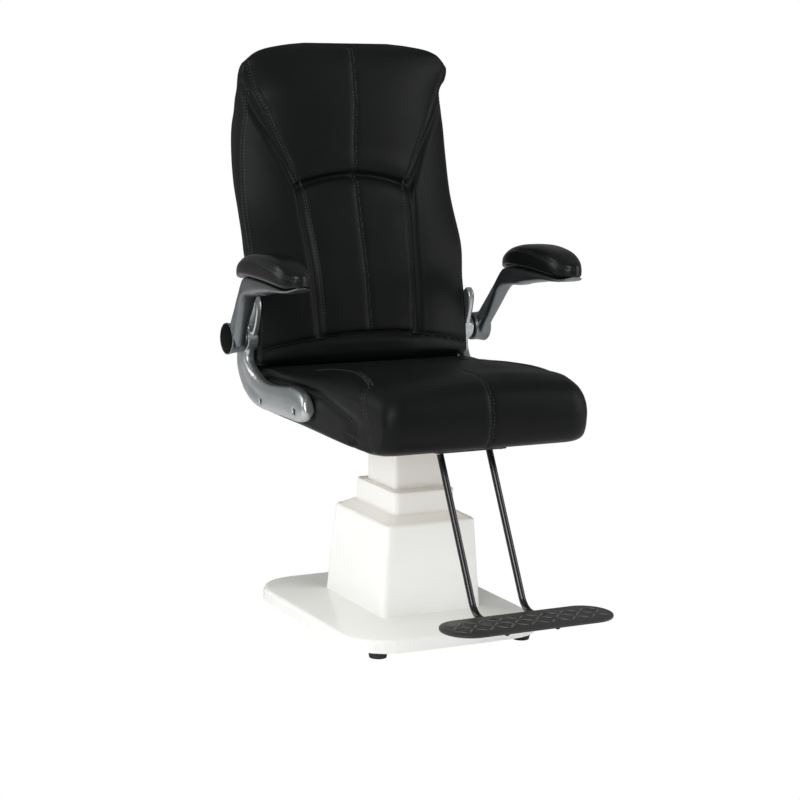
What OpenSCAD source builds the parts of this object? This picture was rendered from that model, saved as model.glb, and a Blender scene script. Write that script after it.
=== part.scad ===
// Ophthalmic examination chair: a lifting column on a wide moulded base, an upholstered
// seat and back joined by cast side brackets, flip-up armrests and a fixed footrest.
// Millimetres, +Z up. The sitter faces -Y, and left and right are the sitter's.
// The origin is on the floor, under the middle of the whole chair.

/* [Base] */
// Width of the base shell
base_w = 480; // [440:5:560]
// Length of the base shell, front to back
base_l = 590; // [560:2:700]
// Distance of the base's centre behind the column's axis
base_set_back = 23; // [0:1:50]
// Corner radius of the base in plan
base_corner_r = 106; // [80:1:130]
// Height of the base shell's rim
rim_h = 28; // [24:1:40]
// Radius of the rim's upper edge
rim_edge_r = 9; // [4:1:12]
// Rise of the hipped top from the rim to the foot of the housing
crown_h = 14; // [8:1:24]
// Wall of the moulded covers
shell_wall = 4; // [3:0.5:5]
// Thickness of the steel base plate
plate_t = 6; // [5:1:10]
// Diameter of a rubber foot
foot_d = 44; // [36:1:50]
// Height of a rubber foot
foot_h = 15; // [10:1:20]
// Distance of a foot's centre from the side of the base
foot_inset_x = 60; // [52:1:80]
// Distance of a foot's centre from the front or rear of the base
foot_inset_y = 42; // [40:1:70]

/* [Column housing] */
// Width of the housing at its foot
housing_w = 252; // [236:1:280]
// Length of the housing at its foot, front to back
housing_l = 292; // [280:1:320]
// Height of the tapered lower tier
housing_h = 205; // [190:1:220]
// How far each side of the tier leans in by its top
housing_draft = 13; // [6:1:16]
// Corner radius of the tier in plan
housing_corner_r = 16; // [10:1:24]
// Rise of the shoulder between the tier and the collar
shoulder_h = 12; // [8:1:16]
// Width of the collar
collar_w = 153; // [148:1:170]
// Length of the collar, front to back
collar_l = 195; // [180:1:210]
// Height of the collar above the shoulder
collar_h = 51; // [40:1:56]

/* [Lifting column] */
// Width of the moving column
column_w = 124; // [120:1:132]
// Length of the moving column, front to back
column_l = 140; // [136:1:160]
// Wall of the moving column and of the fixed mast
column_wall = 4; // [3:0.5:5]
// Corner radius of the moving column
column_corner_r = 10; // [6:1:14]
// Travel of the lift above the height shown
lift_up = 110; // [80:5:120]
// Travel of the lift below the height shown
lift_down = 90; // [60:5:90]
// Diameter of the actuator's rod
rod_d = 26; // [20:1:30]
// Diameter of the actuator's outer tube
jack_d = 44; // [40:1:46]

/* [Seat] */
// Width of the seat at its front
seat_front_w = 494; // [460:2:520]
// Width of the seat between the side brackets
seat_w = 526; // [520:2:536]
// Distance of the seat's front face before the column's axis
seat_front = 380; // [340:5:420]
// Distance of the seat's rear face behind the column's axis
seat_rear = 236; // [226:2:250]
// Height of the seat's underside above the floor
seat_z = 462; // [450:2:500]
// Thickness of the seat at its front crest
seat_t = 151; // [130:1:160]
// Fall of the seat's top from the crest to the rear
seat_fall = 44; // [30:1:50]
// Thickness of the plywood seat pan
pan_t = 14; // [10:1:18]

/* [Back] */
// Width of the back above the side brackets
back_w = 552; // [540:2:560]
// Width of the back between the side brackets
back_low_w = 536; // [530:2:540]
// Height of the back's lower edge above the floor
back_z = 573; // [572:1:590]
// Height of the back itself
back_h = 724; // [660:2:760]
// How far the back's front leans back from bottom to top
back_lean = 152; // [120:2:170]
// Distance of the back's lower front edge behind the column's axis
back_front = 178; // [170:1:190]
// Thickness of the back at its side, halfway up
back_t = 108; // [96:2:120]
// Thickness of the rear cover at its edge
cover_t = 22; // [18:1:28]

/* [Side brackets and armrests] */
// Distance of the armrest pivot behind the column's axis
pivot_y = 246; // [240:1:250]
// Height of the armrest pivot above the seat's underside
pivot_rise = 172; // [166:1:178]
// Diameter of the bracket's pivot boss
boss_d = 56; // [50:1:60]
// Width of the bracket's pivot boss
boss_w = 27; // [22:1:30]
// Width of the armrest's hub
hub_w = 40; // [38:1:46]
// Diameter of the hub's flared outer end
hub_flare_d = 74; // [70:1:78]
// Diameter of the pivot pin
pin_d = 16; // [12:1:18]
// Thickness of the cast bracket beside the seat
bracket_t = 28; // [22:1:30]
// Height of the bracket's foot beside the seat
bracket_foot_h = 73; // [64:1:78]
// Reach of the bracket's foot before the pivot
bracket_reach = 315; // [300:1:325]
// Distance between the two bolts in the bracket's foot
foot_bolt_gap = 178; // [160:1:186]
// Length of an armrest pad
pad_l = 300; // [270:2:310]
// Width of an armrest pad
pad_w = 84; // [76:1:90]
// Height of the pad's crown above its bed
pad_t = 58; // [46:1:66]
// Reach of the armrest from the pivot to the front of its tray
arm_reach = 390; // [380:2:400]
// Height of the armrest's tray above the pivot
arm_rise = 152; // [140:1:165]
// How far the pad stands outside the middle of the hub
pad_out = 22; // [10:1:30]

/* [Footrest] */
// Diameter of a footrest tube
tube_d = 15; // [12:1:18]
// Wall of a footrest tube
tube_wall = 1.5; // [1:0.25:2.5]
// Distance of a footrest tube from the middle plane
tube_x = 61; // [50:1:80]
// Distance of the tubes' tops before the column's axis
tube_top_y = 262; // [240:2:280]
// Distance of the tubes' bend before the column's axis
tube_bend_y = 436; // [420:2:450]
// Radius of the tubes' bend at their centre line
tube_bend_r = 46; // [36:1:60]
// Length of the footplate, side to side
footplate_w = 402; // [360:2:440]
// Width of the footplate, front to back
footplate_l = 119; // [100:1:140]
// Thickness of the footplate
footplate_t = 6; // [5:0.5:9]
// Distance of the footplate's front edge before the column's axis
footplate_front = 606; // [590:2:620]
// Height of the footplate's top above the floor
footplate_z = 146; // [140:1:160]

/* [Hidden] */

// Smoothness of round work, and of the rounds inside lofted forms
$fn = 48;
corner_steps = 7;

// Clearances: between seated pieces, between a soft form and its neighbours, round a
// screw's shank, round a screw's head, round a running pin, between the base plate and
// its shell, and the overrun of every cut
seat_gap = 0.3;
soft_gap = 0.3;
screw_gap = 0.2;
head_gap = 0.5;
pin_gap = 0.06;
plate_gap = 1.2;
wiper_gap = 5;
cut = 1;

// Heights on the base
plate_z = foot_h;
plate_top = plate_z + plate_t;
rim_top = foot_h + rim_h;
plateau_z = rim_top + crown_h;
base_rear_y = base_set_back + base_l / 2;

// Heights on the housing
tier_top = plateau_z + housing_h;
collar_z = tier_top + shoulder_h;
collar_top = collar_z + collar_h;
tier_top_w = housing_w - 2 * housing_draft;
tier_top_l = housing_l - 2 * housing_draft;
tier_edge_r = 8;
collar_fillet = 7;
collar_edge_r = 3;
collar_corner_r = 14;

// The fixed mast, its flange and the glides that run between it and the moving column
glide_t = 10;
glide_h = 34;
glide_w = 60;
glide_gap = 10;
mast_w = column_w - 2 * column_wall - 2 * glide_t;
mast_l = column_l - 2 * column_wall - 2 * glide_t;
mast_corner_r = 6;
flange_t = 8;
flange_side = 16;
flange_end = 39;
flange_bolt_edge = 12;
flange_w = mast_w + 2 * flange_side;
flange_l = mast_l + 2 * flange_end;
mast_bolt_x = flange_w / 2 - flange_side;
mast_bolt_y = flange_l / 2 - flange_bolt_edge;
bolt_r = 5;
bolt_head_r = 8.5;
bolt_head_h = 6.5;
column_floor_gap = 6;
column_bottom = plate_top + flange_t + bolt_head_h + column_floor_gap + lift_down;
glide_foot = 2;
mast_top = column_bottom + glide_foot + 2 * glide_h + glide_gap + lift_up;

// The plate under the seat, and the column below it
seat_plate_t = 8;
seat_plate_w = 200;
seat_plate_l = 220;
seat_plate_z = seat_z - seat_plate_t;
column_top = seat_plate_z;

// The twin-barrel actuator inside the mast: the jack behind, its motor in front
jack_y = 22;
motor_r = 21;
motor_gap = 3;
motor_y = jack_y - jack_d / 2 - motor_r - motor_gap;
motor_h = 118;
gearbox_w = 58;
gearbox_h = 44;
gearbox_end = 3;
gearbox_top = plate_top + gearbox_h;
rod_r = rod_d / 2;
rod_boss_wall = 8;
rod_boss_r = rod_r + rod_boss_wall;
rod_boss_h = 30;
rod_pin_r = 4;
rod_pin_end = 2;
jack_room = 22;
jack_top = mast_top - jack_room;
jack_cap_h = 14;
jack_cap_lip = 1;
jack_bore_gap = 2;

// The control box beside the mast
box_w = 36;
box_l = 116;
box_h = 96;
box_gap = 5;
box_corner_r = 6;

// The gland for the mains lead, in the rear of the rim
gland_r = 6.5;
gland_bore_r = 3.5;
gland_flange_r = 9;
gland_nut_h = 5;
gland_dome_h = 14;
gland_taper = 1;
gland_x = 120;
gland_rise = 14;
gland_z = foot_h + gland_rise;

// Screws that hold the base shell down to the plate
shell_screw_r = 2.5;
shell_screw_head_r = 4.5;
shell_screw_head_h = 3;
shell_boss_r = 8;
shell_screw_h = 14;
shell_boss_inset = 34;
shell_boss_past_corner = 20;
shell_boss_places = [for (sx = [-1, 1], sy = [-1, 1])
    [sx * (base_w / 2 - shell_boss_inset),
        base_set_back + sy * (base_l / 2 - base_corner_r - shell_boss_past_corner)]];

foot_screw_r = 4;
foot_screw_head_r = 7;
foot_screw_head_h = 5;
foot_recess = 6.5;
foot_recess_gap = 1.5;
foot_taper = 3;
foot_places = [for (sx = [-1, 1], sy = [-1, 1])
    [sx * (base_w / 2 - foot_inset_x), base_set_back + sy * (base_l / 2 - foot_inset_y)]];

// The seat: its half width, crown, edge radii and seams
seat_half = seat_w / 2;
seat_crown = 15;
seat_edge_r = 45;
seat_rear_edge_share = 0.3;
seat_low_front_r = 5;
seat_low_rear_r = 22;
seat_seam_depth = 4;
seat_side_y = -0.29 * seat_front;
pan_gap = 28;
pan_corner_r = 40;
pan_front_inset = 78;
pan_rear_inset = 12;
pan_w = min(seat_front_w, seat_w) - 2 * pan_gap;
pan_front = seat_front - pan_front_inset;
pan_rear = seat_rear - pan_rear_inset;
seat_bolt_x = 84;
seat_bolt_y = 94;

// Steel side plates, which take the bracket bolts under the upholstery
ear_t = 4;
ear_skin = 3;
ear_leg = 52;
ear_nut_r = 8;
ear_nut_h = 7;
ear_margin = 24;

// The back, its board and its rear cover
back_half = back_w / 2;
back_low_half = back_low_w / 2;
board_t = 10;
board_edge = 14;
cover_bulge = 10;
back_seam_depth = 5;

// The side brackets
pivot_z = seat_z + pivot_rise;
bracket_foot_x = seat_half + soft_gap;
bracket_tab_x = back_low_half + soft_gap;
bracket_tab_t = 19;
bracket_tab_h = 98;
bracket_drop = 119;
bracket_sink = 0.7;
foot_bolt_back = 174;
foot_bolt_low = 9;
foot_bolt_rise = 8;
foot_bolt_z = pivot_z - bracket_drop - foot_bolt_low;
foot_bolts = [for (side = [-1, 1])
    [pivot_y - foot_bolt_back + side * foot_bolt_gap / 2,
        foot_bolt_z - side * foot_bolt_rise / 2]];
ear_top = foot_bolt_z + foot_bolt_rise / 2 + ear_nut_r + ear_margin;
tab_bolt_rise = 38;
tab_bolt_gap = 28;
tab_bolt_back = 2;
tab_bolt_lean = 4;
tab_bolts = [for (i = [0, 1])
    [pivot_y - tab_bolt_back - tab_bolt_lean * (1 + i),
        pivot_z + tab_bolt_rise + i * tab_bolt_gap]];
bracket_bolt_r = 4;
bracket_head_r = 7;
bracket_head_h = 4;
bracket_groove = 2.2;

// The pivot, from the boss outwards
boss_x = bracket_tab_x;
washer_t = 2;
washer_x = boss_x + boss_w + seat_gap;
hub_x = washer_x + washer_t + seat_gap;
hub_step = 5;
hub_r = boss_d / 2 + hub_step;
hub_end = hub_x + hub_w;
hub_mid = hub_x + hub_w / 2;
pad_x = hub_mid + pad_out;
pin_r = pin_d / 2;
bush_t = 3;
bush_r = pin_r + bush_t;
pin_head_lip = 5;
pin_head_r = pin_r + pin_head_lip;
pin_head_h = 3;
washer_step = 3;
cap_depth = 6;
flare_wall = 4;
flare_r = hub_flare_d / 2;
hub_edge = 1.5;
cap_r = flare_r - flare_wall;
cap_rise = 2.5;
head_pocket = cap_depth + pin_head_h + 2 * seat_gap;

// The armrest's pad and tray
pad_set_forward = 96;
pad_rear = pivot_y - pad_set_forward;
pad_screw_r = 3;
pad_screw_head_r = 5.5;
pad_screw_head_h = 3.5;
pad_screw_h = 26;
pad_screw_grip = 5;
lever_groove = 2.4;
pad_screw_ys = [pad_rear - 0.34 * pad_l, pad_rear - 0.7 * pad_l];

// The footrest
tube_r = tube_d / 2;
tube_low_z = footplate_z - footplate_t - tube_r;
slope = atan2(seat_plate_z - tube_low_z, tube_bend_y - tube_top_y);
bend_set = tube_bend_r * tan(slope / 2);
tube_short = 38;
tube_front = footplate_front - tube_short;
rest_plate_side = 28;
rest_plate_w = 2 * (tube_x + rest_plate_side);
rest_plate_l = 74;
rest_bolt_out = 16;
rest_bolt_x = tube_x + rest_bolt_out;
rest_bolt_y = 24;
plug_h = 6;
plug_lip = 1.5;
tread_h = 1.2;
tread_pitch = 24;
tread_w = 15;
tread_margin = 9;
plate_bolt_r = 3;

module at_column() translate([0, column_y, 0]) children();

// Both sides of the chair
module both_sides() for (side = [-1, 1]) scale([side, 1, 1]) children();

// Value of a smooth curve through a table of [place, value] rows
function row(t, table, i = 0) =
    i >= len(table) - 2 || t < table[i + 1][0] ? i : row(t, table, i + 1);
function tangent(table, i) =
    let (a = max(i - 1, 0), b = min(i + 1, len(table) - 1))
    (table[b][1] - table[a][1]) / (table[b][0] - table[a][0]);
function smooth(t, table) =
    let (
        i = row(t, table),
        gap = table[i + 1][0] - table[i][0],
        s = min(max((t - table[i][0]) / gap, 0), 1)
    )
    table[i][1] * (1 + 2 * s) * (1 - s) * (1 - s)
    + tangent(table, i) * gap * s * (1 - s) * (1 - s)
    + table[i + 1][1] * s * s * (3 - 2 * s)
    - tangent(table, i + 1) * gap * s * s * (1 - s);

// A power that keeps its sign, which squares off a circle
function bend(v, power) = sign(v) * pow(abs(v), power);

// A closed skin over rings of points, each ring running the same way round
module loft(rings) {
    n = len(rings);
    m = len(rings[0]);
    mid = function(r) [for (k = [0:2]) [for (p = r) p[k]] * [for (p = r) 1] / m];
    points = concat([for (r = rings) each r], [mid(rings[0]), mid(rings[n - 1])]);
    sides = [for (i = [0:n - 2], j = [0:m - 1])
        let (a = i * m + j, b = i * m + (j + 1) % m)
        each [[a, b, b + m], [a, b + m, a + m]]];
    ends = [for (j = [0:m - 1])
        let (a = j, b = (j + 1) % m, top = (n - 1) * m)
        each [[n * m, b, a], [n * m + 1, top + a, top + b]]];
    polyhedron(points, concat(sides, ends));
}

// Outline of a rectangle with round corners, clockwise from above
function round_outline(w, l, r, y = 0) = [
    for (q = [0:3], s = [0:corner_steps])
        let (
            a = 90 - q * 90 - s * 90 / corner_steps,
            cx = (q == 0 || q == 1 ? 1 : -1) * (w / 2 - r),
            cy = (q == 0 || q == 3 ? 1 : -1) * (l / 2 - r)
        )
        [cx + r * cos(a), y + cy + r * sin(a)]
];
function lift_ring(outline, z) = [for (p = outline) [p[0], p[1], z]];

// The same rectangle as true arcs and flats
module round_rect(w, l, r) {
    square([w - 2 * r, l], center = true);
    square([w, l - 2 * r], center = true);
    for (sx = [-1, 1], sy = [-1, 1])
        translate([sx * (w / 2 - r), sy * (l / 2 - r)]) circle(r);
}

module bar(w, l, h, r) linear_extrude(h) round_rect(w, l, r);

// A button-head screw that points along +Z, its seat at z = 0
module button_screw(r, h, head_r, head_h) {
    cylinder(h = h, r = r);
    translate([0, 0, -head_h]) cylinder(h = head_h, r1 = head_r * 0.72, r2 = head_r);
}

// A hexagon-head bolt that points along -Z, its seat at z = 0
module hex_bolt(r, h, head_r, head_h) {
    translate([0, 0, -h]) cylinder(h = h, r = r);
    cylinder(h = head_h, r = head_r, $fn = 6);
}

// Base plate, drilled for the feet, the mast and the shell screws
module base_plate() {
    edge = shell_wall + plate_gap;
    color("dimgray") at_column() difference() {
        translate([0, base_set_back, plate_z])
            bar(base_w - 2 * edge, base_l - 2 * edge, plate_t, base_corner_r - edge);
        for (p = foot_places)
            translate([p[0], p[1], plate_z - cut])
                cylinder(h = plate_t + 2 * cut, r = foot_screw_r + screw_gap);
        for (p = shell_boss_places)
            translate([p[0], p[1], plate_z - cut])
                cylinder(h = plate_t + 2 * cut, r = shell_screw_r + screw_gap);
        for (sx = [-1, 1], sy = [-1, 1])
            translate([sx * mast_bolt_x, sy * mast_bolt_y, plate_z - cut])
                cylinder(h = plate_t + 2 * cut, r = bolt_r + screw_gap);
    }
}

// Outer form of the base shell: rim, rounded edge, and the hips up to the housing's foot
module base_form(inset) {
    rim = function(z, in) lift_ring(
        round_outline(base_w - 2 * in, base_l - 2 * in, base_corner_r - in, base_set_back), z);
    edge = max(rim_edge_r - inset, 1);
    knee = rim_top - inset - edge;
    loft(concat(
        [rim(foot_h - (inset > 0 ? cut : 0), inset)],
        [for (a = [0:30:90]) rim(knee + edge * sin(a), inset + edge * (1 - cos(a)))],
        [lift_ring(round_outline(housing_w, housing_l, housing_corner_r), plateau_z - inset)]
    ));
}

// Base shell: the white cover over the plate, open under the housing
module base_shell() {
    color("white") at_column() difference() {
        union() {
            difference() {
                base_form(0);
                base_form(shell_wall);
            }
            intersection() {
                for (p = shell_boss_places)
                    translate([p[0], p[1], plate_top]) cylinder(h = plateau_z, r = shell_boss_r);
                base_form(0);
            }
        }
        linear_extrude(plateau_z + cut)
            round_rect(housing_w - 6 * shell_wall, housing_l - 6 * shell_wall, housing_corner_r);
        for (p = shell_boss_places)
            translate([p[0], p[1], plate_top - cut])
                cylinder(h = shell_screw_h - plate_t + 2 * cut, r = shell_screw_r + screw_gap);
        translate([gland_x, base_rear_y - 2 * shell_wall, gland_z])
            rotate([-90, 0, 0]) cylinder(h = 4 * shell_wall, r = gland_r + screw_gap);
    }
}

module shell_screws() {
    color("gray") at_column() for (p = shell_boss_places)
        translate([p[0], p[1], plate_z])
            button_screw(shell_screw_r, shell_screw_h, shell_screw_head_r, shell_screw_head_h);
}

// Rubber feet, each with a recess for its screw
module rubber_feet() {
    color("black") at_column() for (p = foot_places)
        translate([p[0], p[1], 0]) difference() {
            cylinder(h = foot_h, r1 = foot_d / 2 - foot_taper, r2 = foot_d / 2);
            translate([0, 0, -cut])
                cylinder(h = foot_recess + cut, r = foot_screw_head_r + foot_recess_gap);
            cylinder(h = foot_h + cut, r = foot_screw_r + screw_gap);
        }
}

module foot_screws() {
    color("silver") at_column() for (p = foot_places)
        translate([p[0], p[1], foot_recess])
            button_screw(foot_screw_r, plate_top - foot_recess, foot_screw_head_r,
                foot_screw_head_h);
}

// Gland for the mains lead: flange, clamping dome, and a nut inside the rim
module power_gland() {
    body = gland_dome_h + shell_wall + gland_nut_h;
    color("black") at_column() translate([gland_x, base_rear_y, gland_z]) rotate([-90, 0, 0])
        difference() {
            union() {
                translate([0, 0, -shell_wall - gland_nut_h]) cylinder(h = body, r = gland_r);
                cylinder(h = gland_nut_h, r = gland_flange_r, $fn = 6);
                translate([0, 0, gland_nut_h])
                    cylinder(h = gland_dome_h - gland_nut_h, r1 = gland_r + gland_taper,
                        r2 = gland_r - gland_taper);
                translate([0, 0, -shell_wall - gland_nut_h])
                    cylinder(h = gland_nut_h, r = gland_flange_r - gland_taper, $fn = 6);
            }
            translate([0, 0, gland_dome_h - body - cut])
                cylinder(h = body + 2 * cut, r = gland_bore_r);
        }
}

// Form of the housing: tapered tier, shoulder, filleted collar
module housing_form(inset) {
    ring = function(z, w, l, r) lift_ring(
        round_outline(w - 2 * inset, l - 2 * inset, max(r - inset, 2)), z);
    open = inset > 0 ? cut : 0;
    slope_w = collar_w + 2 * collar_fillet;
    slope_l = collar_l + 2 * collar_fillet;
    loft(concat(
        [ring(plateau_z - open, housing_w, housing_l, housing_corner_r)],
        [for (a = [0:30:90])
            let (in = 2 * tier_edge_r * (1 - cos(a)))
            ring(tier_top - tier_edge_r * (1 - sin(a)) - inset, tier_top_w - in,
                tier_top_l - in, housing_corner_r)],
        [for (a = [0:30:90])
            let (out = 2 * collar_fillet * (1 - sin(a)))
            ring(collar_z - inset + collar_fillet * (1 - cos(a)), collar_w + out,
                collar_l + out, collar_corner_r)],
        [for (a = [0:45:90])
            let (in = 2 * collar_edge_r * (1 - cos(a)))
            ring(collar_top - collar_edge_r * (1 - sin(a)) - inset, collar_w - in,
                collar_l - in, collar_corner_r)]
    ));
}

module column_housing() {
    color("white") at_column() difference() {
        housing_form(0);
        housing_form(shell_wall);
        translate([0, 0, collar_top - 2 * shell_wall])
            bar(column_w + 2 * wiper_gap, column_l + 2 * wiper_gap, 4 * shell_wall,
                column_corner_r + wiper_gap);
    }
}

// Wiper: the lip that closes the collar round the moving column
module housing_wiper() {
    lip = 3;
    color("gainsboro") at_column() difference() {
        union() {
            translate([0, 0, collar_top - shell_wall])
                bar(column_w + 2 * wiper_gap - seat_gap, column_l + 2 * wiper_gap - seat_gap,
                    shell_wall + cut, column_corner_r + wiper_gap);
            translate([0, 0, collar_top])
                bar(column_w + 2 * (wiper_gap + lip), column_l + 2 * (wiper_gap + lip), lip / 2,
                    column_corner_r + wiper_gap + lip);
        }
        translate([0, 0, collar_top - 2 * shell_wall])
            bar(column_w + 2 * seat_gap, column_l + 2 * seat_gap, 4 * shell_wall,
                column_corner_r + seat_gap);
    }
}

// Fixed mast: square guide tube welded to a drilled flange
module mast() {
    color("lightgray") at_column() difference() {
        union() {
            translate([0, 0, plate_top]) bar(mast_w, mast_l, mast_top - plate_top, mast_corner_r);
            translate([0, 0, plate_top]) bar(flange_w, flange_l, flange_t, mast_corner_r);
        }
        translate([0, 0, plate_top - cut])
            bar(mast_w - 2 * column_wall, mast_l - 2 * column_wall, mast_top, column_wall / 2);
        for (sx = [-1, 1], sy = [-1, 1])
            translate([sx * mast_bolt_x, sy * mast_bolt_y, plate_top - cut])
                cylinder(h = flange_t + 2 * cut, r = bolt_r + screw_gap);
    }
}

module mast_bolts() {
    color("silver") at_column() for (sx = [-1, 1], sy = [-1, 1])
        translate([sx * mast_bolt_x, sy * mast_bolt_y, plate_top + flange_t])
            hex_bolt(bolt_r, flange_t + plate_t, bolt_head_r, bolt_head_h);
}

// Four nylon glides round a rectangle, standing out from it by glide_t less a clearance
module glides(w, l, z, outward) {
    t = glide_t - seat_gap;
    place = outward ? t / 2 : -t / 2;
    for (side = [-1, 1]) {
        translate([side * (w / 2 + place), 0, z + glide_h / 2])
            cube([t, glide_w, glide_h], center = true);
        translate([0, side * (l / 2 + place), z + glide_h / 2])
            cube([glide_w, t, glide_h], center = true);
    }
}

module mast_glides() {
    color("ivory") at_column() glides(mast_w, mast_l, mast_top - glide_h, true);
}

module column_glides() {
    color("ivory") at_column()
        glides(column_w - 2 * column_wall, column_l - 2 * column_wall,
            column_bottom + glide_foot, false);
}

// Actuator: gearbox on the plate, with the jack and its motor side by side on top
module actuator_gearbox() {
    l = mast_l - 2 * column_wall - 2 * gearbox_end;
    color("dimgray") at_column() translate([0, 0, plate_top])
        bar(gearbox_w, l, gearbox_h, motor_r / 3);
}

module actuator_motor() {
    color("black") at_column() translate([0, motor_y, gearbox_top]) {
        cylinder(h = motor_h, r = motor_r);
        translate([0, 0, motor_h]) cylinder(h = motor_r / 4, r = motor_r / 2);
    }
}

module actuator_tube() {
    color("silver") at_column() translate([0, jack_y, 0]) difference() {
        union() {
            translate([0, 0, gearbox_top]) cylinder(h = jack_top - gearbox_top, r = jack_d / 2);
            translate([0, 0, jack_top - jack_cap_h])
                cylinder(h = jack_cap_h, r = jack_d / 2 + jack_cap_lip);
        }
        translate([0, 0, gearbox_top + column_wall])
            cylinder(h = jack_top - gearbox_top - column_wall - jack_cap_h, r = rod_r + jack_bore_gap);
        translate([0, 0, jack_top - 2 * jack_cap_h])
            cylinder(h = 2 * jack_cap_h + cut, r = rod_r + pin_gap);
    }
}

module actuator_rod() {
    foot = gearbox_top + column_wall + lift_down + seat_gap;
    color("silver") at_column() translate([0, jack_y, 0]) difference() {
        translate([0, 0, foot]) cylinder(h = seat_plate_z - foot, r = rod_r);
        translate([0, 0, seat_plate_z - rod_boss_h / 2]) rotate([0, 90, 0])
            cylinder(h = 4 * rod_r, r = rod_pin_r + screw_gap, center = true);
    }
}

module rod_pin() {
    color("gray") at_column() translate([0, jack_y, seat_plate_z - rod_boss_h / 2])
        rotate([0, 90, 0]) cylinder(h = 2 * (rod_boss_r + rod_pin_end), r = rod_pin_r, center = true);
}

// Control box, standing on the base plate beside the mast
module control_box() {
    color("slategray") at_column()
        translate([column_w / 2 + box_gap + box_w / 2, 0, plate_top])
            bar(box_w, box_l, box_h, box_corner_r);
}

// Moving column: the white square tube that carries the seat
module column() {
    color("white") at_column() translate([0, 0, column_bottom]) difference() {
        bar(column_w, column_l, column_top - column_bottom, column_corner_r);
        translate([0, 0, -cut])
            bar(column_w - 2 * column_wall, column_l - 2 * column_wall, column_top,
                column_corner_r - column_wall);
    }
}

// Plate on top of the column, with the boss that takes the actuator's rod
module seat_plate() {
    color("dimgray") at_column() difference() {
        union() {
            translate([0, 0, seat_plate_z])
                bar(seat_plate_w, seat_plate_l, seat_plate_t, column_corner_r);
            translate([0, jack_y, seat_plate_z - rod_boss_h])
                cylinder(h = rod_boss_h, r = rod_boss_r);
        }
        translate([0, jack_y, seat_plate_z - rod_boss_h - cut])
            cylinder(h = rod_boss_h + cut, r = rod_r + pin_gap);
        translate([0, jack_y, seat_plate_z - rod_boss_h / 2]) rotate([0, 90, 0])
            cylinder(h = 4 * rod_boss_r, r = rod_pin_r + screw_gap, center = true);
        for (sx = [-1, 1], sy = [-1, 1])
            translate([sx * seat_bolt_x, sy * seat_bolt_y, seat_plate_z - cut])
                cylinder(h = seat_plate_t + 2 * cut, r = bolt_r + screw_gap);
    }
}

module seat_plate_bolts() {
    color("silver") at_column() for (sx = [-1, 1], sy = [-1, 1])
        translate([sx * seat_bolt_x, sy * seat_bolt_y, seat_plate_z]) rotate([180, 0, 0])
            hex_bolt(bolt_r, seat_plate_t + pan_t - 2, bolt_head_r, bolt_head_h);
}

// Outline of the plywood pan, set in from the upholstery all round
module pan_outline(grow) {
    l = pan_front + pan_rear;
    translate([0, (pan_rear - pan_front) / 2])
        round_rect(pan_w + 2 * grow, l + 2 * grow, pan_corner_r);
}

module seat_pan() {
    color("saddlebrown") at_column() difference() {
        translate([0, 0, seat_z]) linear_extrude(pan_t) pan_outline(0);
        for (sx = [-1, 1], sy = [-1, 1]) {
            translate([sx * seat_bolt_x, sy * seat_bolt_y, seat_z - cut])
                cylinder(h = pan_t + 2 * cut, r = bolt_r + screw_gap);
            translate([sx * rest_bolt_x, sy * rest_bolt_y - tube_top_y, seat_z - cut])
                cylinder(h = pan_t + 2 * cut, r = plate_bolt_r + screw_gap);
        }
    }
}

// One side plate: a leg on the pan, a leg up the seat's side, and two weld nuts
module side_plate(grow) {
    x = seat_half - ear_skin;
    y = foot_bolts[0][0] - ear_margin;
    l = foot_bolt_gap + 2 * ear_margin;
    z = seat_z + pan_t;
    translate([x - ear_leg - grow, y - grow, z - grow])
        cube([ear_leg + 2 * grow, l + 2 * grow, ear_t + 2 * grow]);
    translate([x - ear_t - grow, y - grow, z - grow])
        cube([ear_t + 2 * grow, l + 2 * grow, ear_top - z + 2 * grow]);
    for (b = foot_bolts)
        translate([x - ear_t - ear_nut_h - grow, b[0], b[1]]) rotate([0, 90, 0])
            cylinder(h = ear_nut_h + 2 * grow, r = ear_nut_r + grow);
}

module seat_side_plates() {
    color("gray") at_column() both_sides() difference() {
        side_plate(0);
        foot_bolt_holes(bracket_bolt_r + screw_gap);
    }
}

// Holes for the bolts of one bracket's foot and of its tab
module foot_bolt_holes(r) {
    for (b = foot_bolts)
        translate([seat_half - 5 * ear_t, b[0], b[1]]) rotate([0, 90, 0])
            cylinder(h = 10 * ear_t, r = r);
}
module tab_bolt_holes(r) {
    for (b = tab_bolts)
        translate([back_low_half - 5 * ear_t, b[0], b[1]]) rotate([0, 90, 0])
            cylinder(h = 10 * ear_t, r = r);
}

// Side outline of the seat as shares: below 0 of the front distance, above 0 of the rear
// distance, and of the thickness at the crest
seat_front_shares = [
    [-0.80, 0.00], [-0.90, 0.035], [-0.965, 0.12], [-0.995, 0.30], [-1.00, 0.46],
    [-0.99, 0.64], [-0.95, 0.82], [-0.88, 0.915], [-0.76, 0.96], [-0.53, 0.96],
    [-0.26, 0.925]
];
seat_rear_shares = [
    [0.12, 0.83], [0.51, 0.775], [0.71, 0.755], [0.82, 0.70], [0.90, 0.665],
    [0.975, 0.61], [1.00, 0.50], [1.00, 0.06], [0.96, 0.00]
];
// The shares alone give a fall of seat_fall_share; the top follows the chosen fall
seat_fall_share = 0.29;
function seat_fall_shift(s) = s * (seat_fall_share * seat_t - seat_fall);
seat_outline = concat(
    [for (s = seat_front_shares) [s[0] * seat_front, seat_z + s[1] * seat_t]],
    [for (s = seat_rear_shares)
        [s[0] * seat_rear, seat_z + s[1] * seat_t + (s[1] > 0.6 ? seat_fall_shift(s[0]) : 0)]],
    [[0.45 * seat_rear, seat_z], [-0.45 * seat_front, seat_z]]
);
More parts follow.
